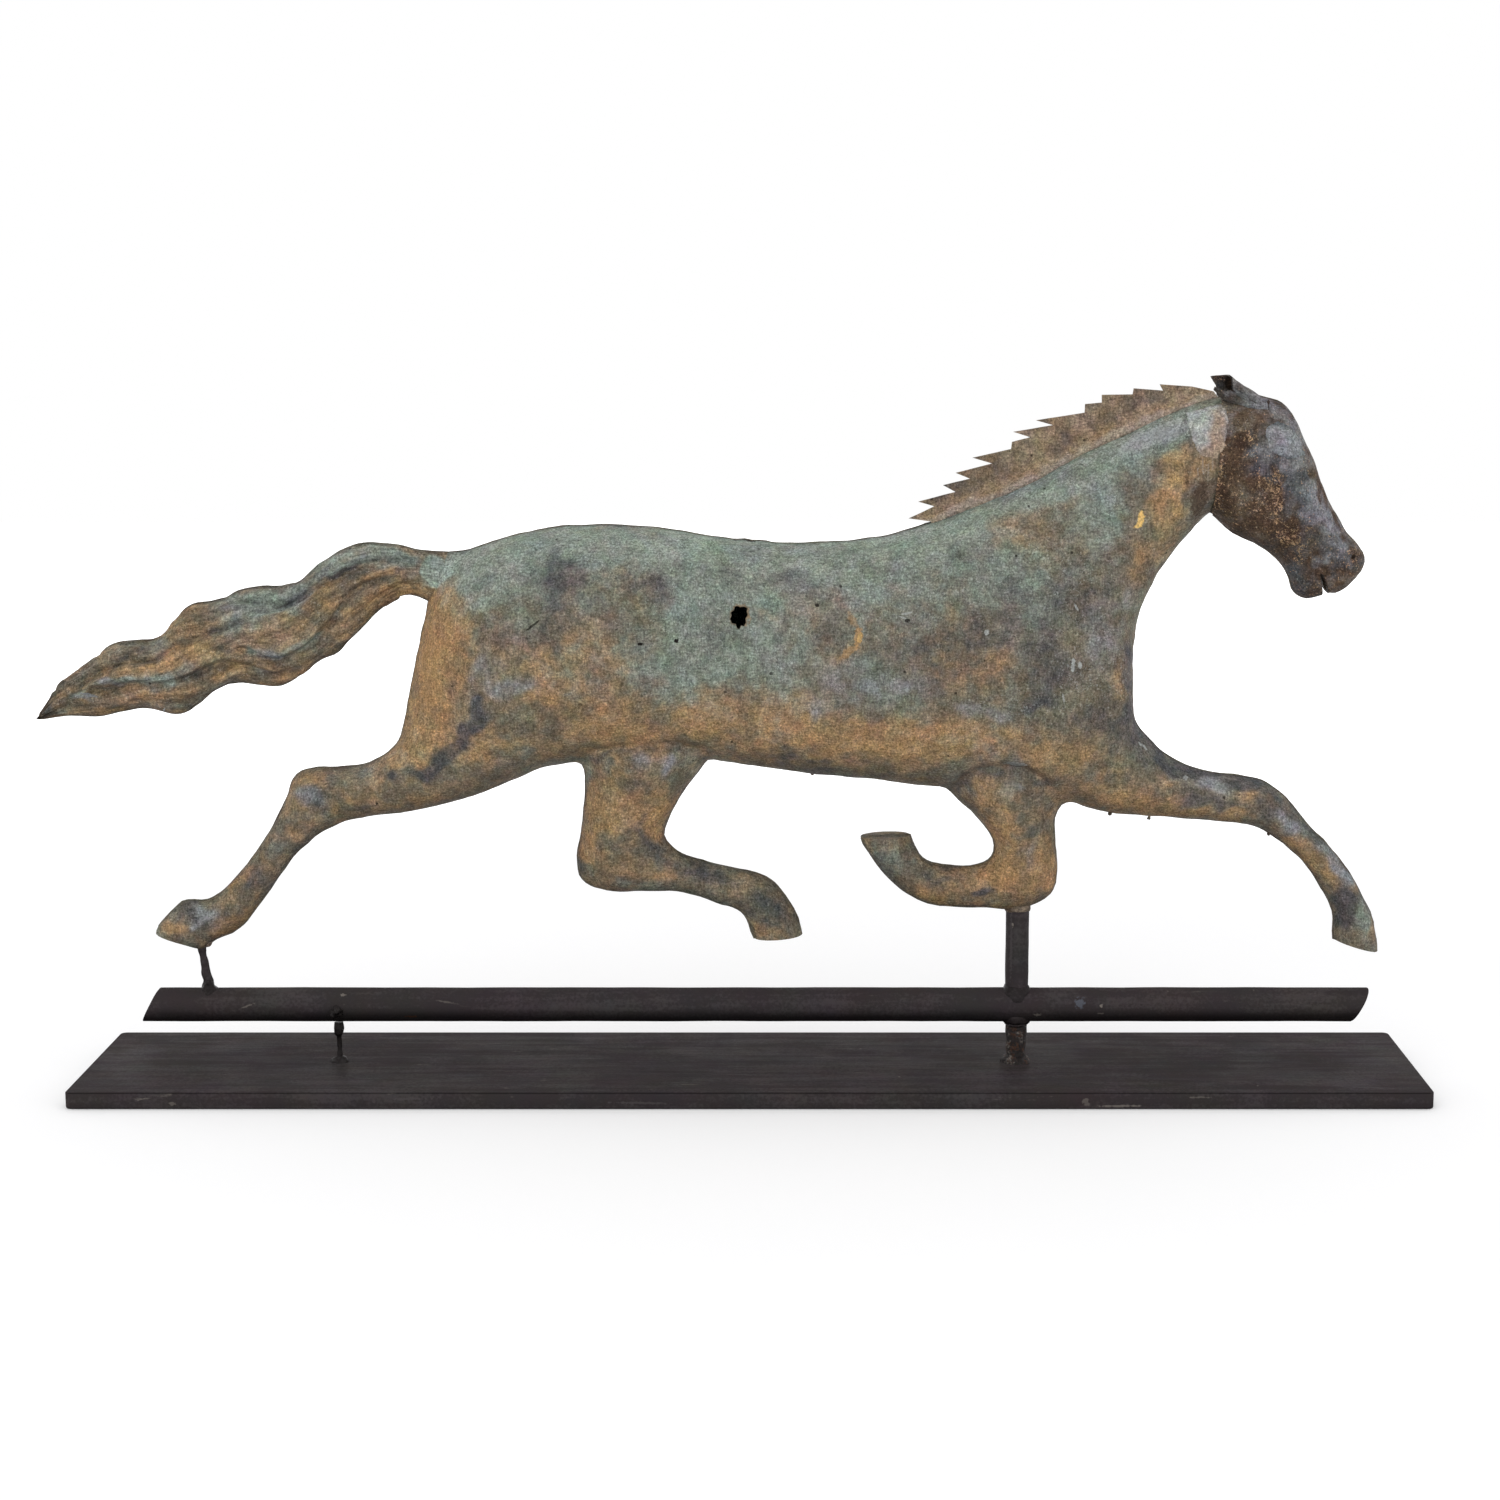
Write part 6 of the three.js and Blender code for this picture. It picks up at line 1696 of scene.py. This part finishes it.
class MakeProps(bpy.types.Operator):
    """Stand the thin prop under the rear hoof, with its weld and its flap of solder"""
    bl_idname = "vane.props"
    bl_label = "Hoof Prop"

    def execute(self, context):
        top = seam_point(*PROP_TOP_PIXEL)
        foot = seam_point(*PROP_FOOT_PIXEL)
        foot.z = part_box("direction_rod")[1].z - PROP_SEAT
        lean = (top - foot).normalized()
        reach = (top - foot).length + 0.003
        add_round("rear_prop", [(0, -0.004), (0.0031, -0.004), (0.0029, 0.004), (0.0025, 0.4 * reach),
                                (0.0023, 0.7 * reach), (0.0024, reach), (0, reach + 0.001)],
                  28, foot, "vane", "black_paint", "satin_paint", (0.0007, 0.005, 4.0), ["hoof_prop"], lean)
        add_round("rear_prop_weld", [(0.002, -0.004), (0.0068, -0.003), (0.0048, 0.0006), (0.0036, 0.0028),
                                     (0.003, 0.0056), (0.0024, 0.0062), (0.002, -0.004)],
                  32, foot, "vane", "black_paint", "thick_paint", (0.0016, 0.004, 7.0), ["hoof_prop_weld"],
                  lean, cuts=4)
        blob("rear_hoof_solder", seam_point(*HOOF_FLAP_PIXEL), (0.0072, 0.0048, 0.003), (0.0026, 0.004, 2.0),
             "vane", "solder", "collar_solder", "hoof_solder")
        low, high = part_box("steady_tack")
        blob("rod_tack", (low + high) / 2, (0.0034, 0.003, 0.0036), (0.0022, 0.003, 3.0), "vane", "black_paint",
             "thick_paint", "steady_tack")
        return {"FINISHED"}


class MakeDrips(bpy.types.Operator):
    """Leave small drips of solder under the seam"""
    bl_idname = "vane.drips"
    bl_label = "Solder Drips"

    def execute(self, context):
        for number, (x, y, drop) in enumerate(DRIPS):
            blob(f"solder_drip_{number + 1}", seam_point(x, y), (0.0011, 0.0012, drop),
                 (0.001, 0.002, 1.0 + number), "vane", "solder", "collar_solder")
        return {"FINISHED"}


class MakeStand(bpy.types.Operator):
    """Make the base plate, the spindle and the peg that steadies the rod"""
    bl_idname = "vane.stand"
    bl_label = "Stand"

    def execute(self, context):
        low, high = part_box("base_plate")
        size = high - low
        bm = bmesh.new()
        bmesh.ops.create_cube(bm, size=1.0)
        matrix = Matrix.Translation((low + high) / 2) @ Matrix.Diagonal((*size, 1))
        bmesh.ops.transform(bm, matrix=matrix, verts=bm.verts)
        upright = [e for e in bm.edges if abs(e.verts[0].co.z - e.verts[1].co.z) > size.z / 2]
        bevel(bm, upright, PLATE_CORNER, 6)
        bevel(bm, [e for e in bm.edges if len(e.link_faces) == 2 and e.calc_face_angle(0) > 1.0
                   and abs(e.verts[0].co.z - e.verts[1].co.z) < 1e-6], PLATE_CHAMFER, 3)
        plate = mesh_of(bm, "bar_base")
        relief = Relief(plate)
        # The front top chamfer, marked for a line of painted shade in the paint finish.
        outer = np.minimum(relief.places[:, 2] - high.z, low.y - relief.places[:, 1]) > -0.00085
        relief.keep("edge", outer.astype(float))
        add_piece("bar_base", soft_shaded(plate, 35), "stand", "black_paint", finish_named("base_paint"),
                  "base_plate")

        low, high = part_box("spindle")
        axis, radius = column(low, high)
        neck = SPINDLE_NECK_RADIUS
        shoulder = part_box("socket_tube")[0].z - SHOULDER_GAP
        waist = low.z + 0.4 * (shoulder - low.z)
        add_round("rough_spindle", [(0, low.z), (radius + 0.0004, low.z), (radius + 0.0006, waist),
                                    (radius + 0.0013, shoulder), (neck, shoulder), (neck, high.z - 0.002),
                                    (0, high.z - 0.002)],
                  40, axis, "stand", "raw_iron", "raw_iron", (0.00045, 0.004, 1.0), ["spindle"], cuts=10)
        add_round("spindle_weld",
                  around(radius, low.z, (-0.001, -0.0006), (0.0034, -0.0006), (0.003, 0.001), (0.0018, 0.0024),
                         (0.0005, 0.0036), (-0.001, 0.004), (-0.001, -0.0006)),
                  44, axis, "stand", "raw_iron", "raw_iron", (0.0021, 0.0042, 12.0), ["spindle_foot_weld"],
                  cuts=5)
        low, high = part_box("steady_peg")
        axis, _ = column(low, high)
        add_round("rod_steady",
                  [(0, low.z), (0.0017, low.z), (0.0014, low.z + 0.2 * (high.z - low.z))]
                  + around(0, high.z, (0.0014, -0.009), (0.0026, -0.0072), (0.0029, -0.004), (0.0025, -0.0003),
                           (0, -0.0003)),
                  28, axis, "stand", "black_paint", "thick_paint", (0.0005, 0.004, 2.0), ["steady_peg"])
        add_round("rod_steady_weld",
                  around(0, low.z, (0.0006, -0.0003), (0.0052, -0.0003), (0.0046, 0.001), (0.003, 0.0023),
                         (0.0017, 0.0034), (0.0006, -0.0003)),
                  32, axis, "stand", "black_paint", "thick_paint", (0.0014, 0.003, 8.0), ["steady_peg_weld"],
                  cuts=4)
        for node, finish in (("pivot_ball", "bearing_steel"), ("pivot_cap", "bearing_steel"),
                             ("socket_bush", "bush_bronze")):
            data = frame["nodes"][node].data
            data.materials.clear()
            data.materials.append(finish_named(finish))
        return {"FINISHED"}


class MakeStage(bpy.types.Operator):
    """Lay the pale floor, set the lamps and place the camera"""
    bl_idname = "vane.stage"
    bl_label = "Stage"

    def execute(self, context):
        scene = context.scene
        settings = scene.stage_settings
        f = Finish("paper")
        path = f.node("ShaderNodeLightPath").outputs
        direct = f.sum(f.sum(path["Is Camera Ray"], path["Is Glossy Ray"]), path["Is Transmission Ray"])
        distance = f.vector_maths("LENGTH", {0: f.place()}, "Value")
        glow = f.window(distance, 0.55, 1.3, settings.floor_glow, 1.0)
        f.feed(f.shader, {"Roughness": 1.0, "Specular IOR Level": 0.0, "Base Color": settings.floor,
                          "Emission Color": (1, 1, 1), "Emission Strength": f.product(direct, glow)})
        bm = bmesh.new()
        bmesh.ops.create_grid(bm, x_segments=2, y_segments=2, size=4.0)
        bmesh.ops.translate(bm, vec=(0, 0, -0.0002), verts=bm.verts)
        floor = linked("floor", mesh_of(bm, "floor"))
        floor.data.materials.append(f.material)

        world = bpy.data.worlds.new("studio")
        world.use_nodes = True
        scene.world = world
        nodes = Nodes(world.node_tree)
        rays = nodes.node("ShaderNodeLightPath").outputs
        seen = nodes.maths("MAXIMUM", rays["Is Camera Ray"], rays["Is Glossy Ray"])
        clear = nodes.maths("MAXIMUM", seen, rays["Is Transmission Ray"])
        strength = nodes.node("ShaderNodeMapRange", {"Value": clear, "To Min": settings.world, "To Max": 1.0})
        nodes.feed(nodes.tree.nodes["Background"], {"Strength": strength.outputs["Result"], "Color": (1, 1, 1)})

        target = Vector((0, 0, 0.2))
        for name, place, size, power in (
                ("key", Vector((-0.9, -2.3, 2.0)), 1.8, settings.key_power),
                ("fill", Vector((2.1, -1.5, 1.1)), 1.6, settings.fill_power),
                ("back_fill", Vector((-0.6, 2.2, 1.6)), 1.8, settings.fill_power),
                ("top", Vector((0.1, 0.1, 2.4)), 2.2, settings.top_power)):
            lamp = bpy.data.lights.new(name, "AREA")
            lamp.shape = "SQUARE"
            lamp.size = size
            lamp.energy = power
            stand = linked(name, lamp)
            stand.location = place
            stand.rotation_euler = (target - place).to_track_quat("-Z", "Y").to_euler()

        camera = linked("camera", bpy.data.cameras.new("camera"))
        camera.data.sensor_width = 1000 * SENSOR_WIDTH
        camera.data.lens = camera.data.sensor_width * VIEW_FOCAL_PIXELS / VIEW_SIDE_PIXELS
        camera.data.shift_x = 0.5 - VIEW_CENTRE_PIXEL[0] / VIEW_SIDE_PIXELS
        camera.data.shift_y = VIEW_CENTRE_PIXEL[1] / VIEW_SIDE_PIXELS - 0.5
        camera.location = VIEW_EYE
        camera.rotation_euler = (math.pi / 2 - VIEW_PITCH, 0, 0)
        scene.camera = camera
        scene.view_settings.view_transform = "Standard"
        return {"FINISHED"}


OPERATORS = (MakeBody, MakeHead, MakeTail, MakeMane, MakeEars, MakeRepairs, MakeRod, MakePost, MakeProps,
             MakeDrips, MakeStand, MakeStage)


class VanePanel(bpy.types.Panel):
    """Lists the steps that build the weathervane"""
    bl_idname = "VIEW3D_PT_weathervane"
    bl_label = "Weathervane"
    bl_space_type = "VIEW_3D"
    bl_region_type = "UI"
    bl_category = "Weathervane"

    def draw(self, context):
        for group in (context.scene.vane_sizes, context.scene.copper_colours, context.scene.stand_colours,
                      context.scene.stage_settings):
            box = self.layout.box()
            for key in group.__annotations__:
                box.prop(group, key)
        for operator in OPERATORS:
            self.layout.operator(operator.bl_idname)


PROPERTY_GROUPS = {
    "vane_sizes": VaneSizes,
    "copper_colours": CopperColours,
    "stand_colours": StandColours,
    "stage_settings": StageSettings,
}


def register():
    for group in PROPERTY_GROUPS.values():
        bpy.utils.register_class(group)
    for name, group in PROPERTY_GROUPS.items():
        setattr(bpy.types.Scene, name, bpy.props.PointerProperty(type=group))
    for operator in OPERATORS:
        bpy.utils.register_class(operator)
    bpy.utils.register_class(VanePanel)


def unregister():
    bpy.utils.unregister_class(VanePanel)
    for operator in reversed(OPERATORS):
        bpy.utils.unregister_class(operator)
    for name, group in PROPERTY_GROUPS.items():
        delattr(bpy.types.Scene, name)
        bpy.utils.unregister_class(group)


def main():
    register()
    for operator in OPERATORS:
        step = operator.bl_idname.split(".")[1]
        getattr(bpy.ops.vane, step)()
    clear_cutters()


if __name__ == "__main__":
    main()
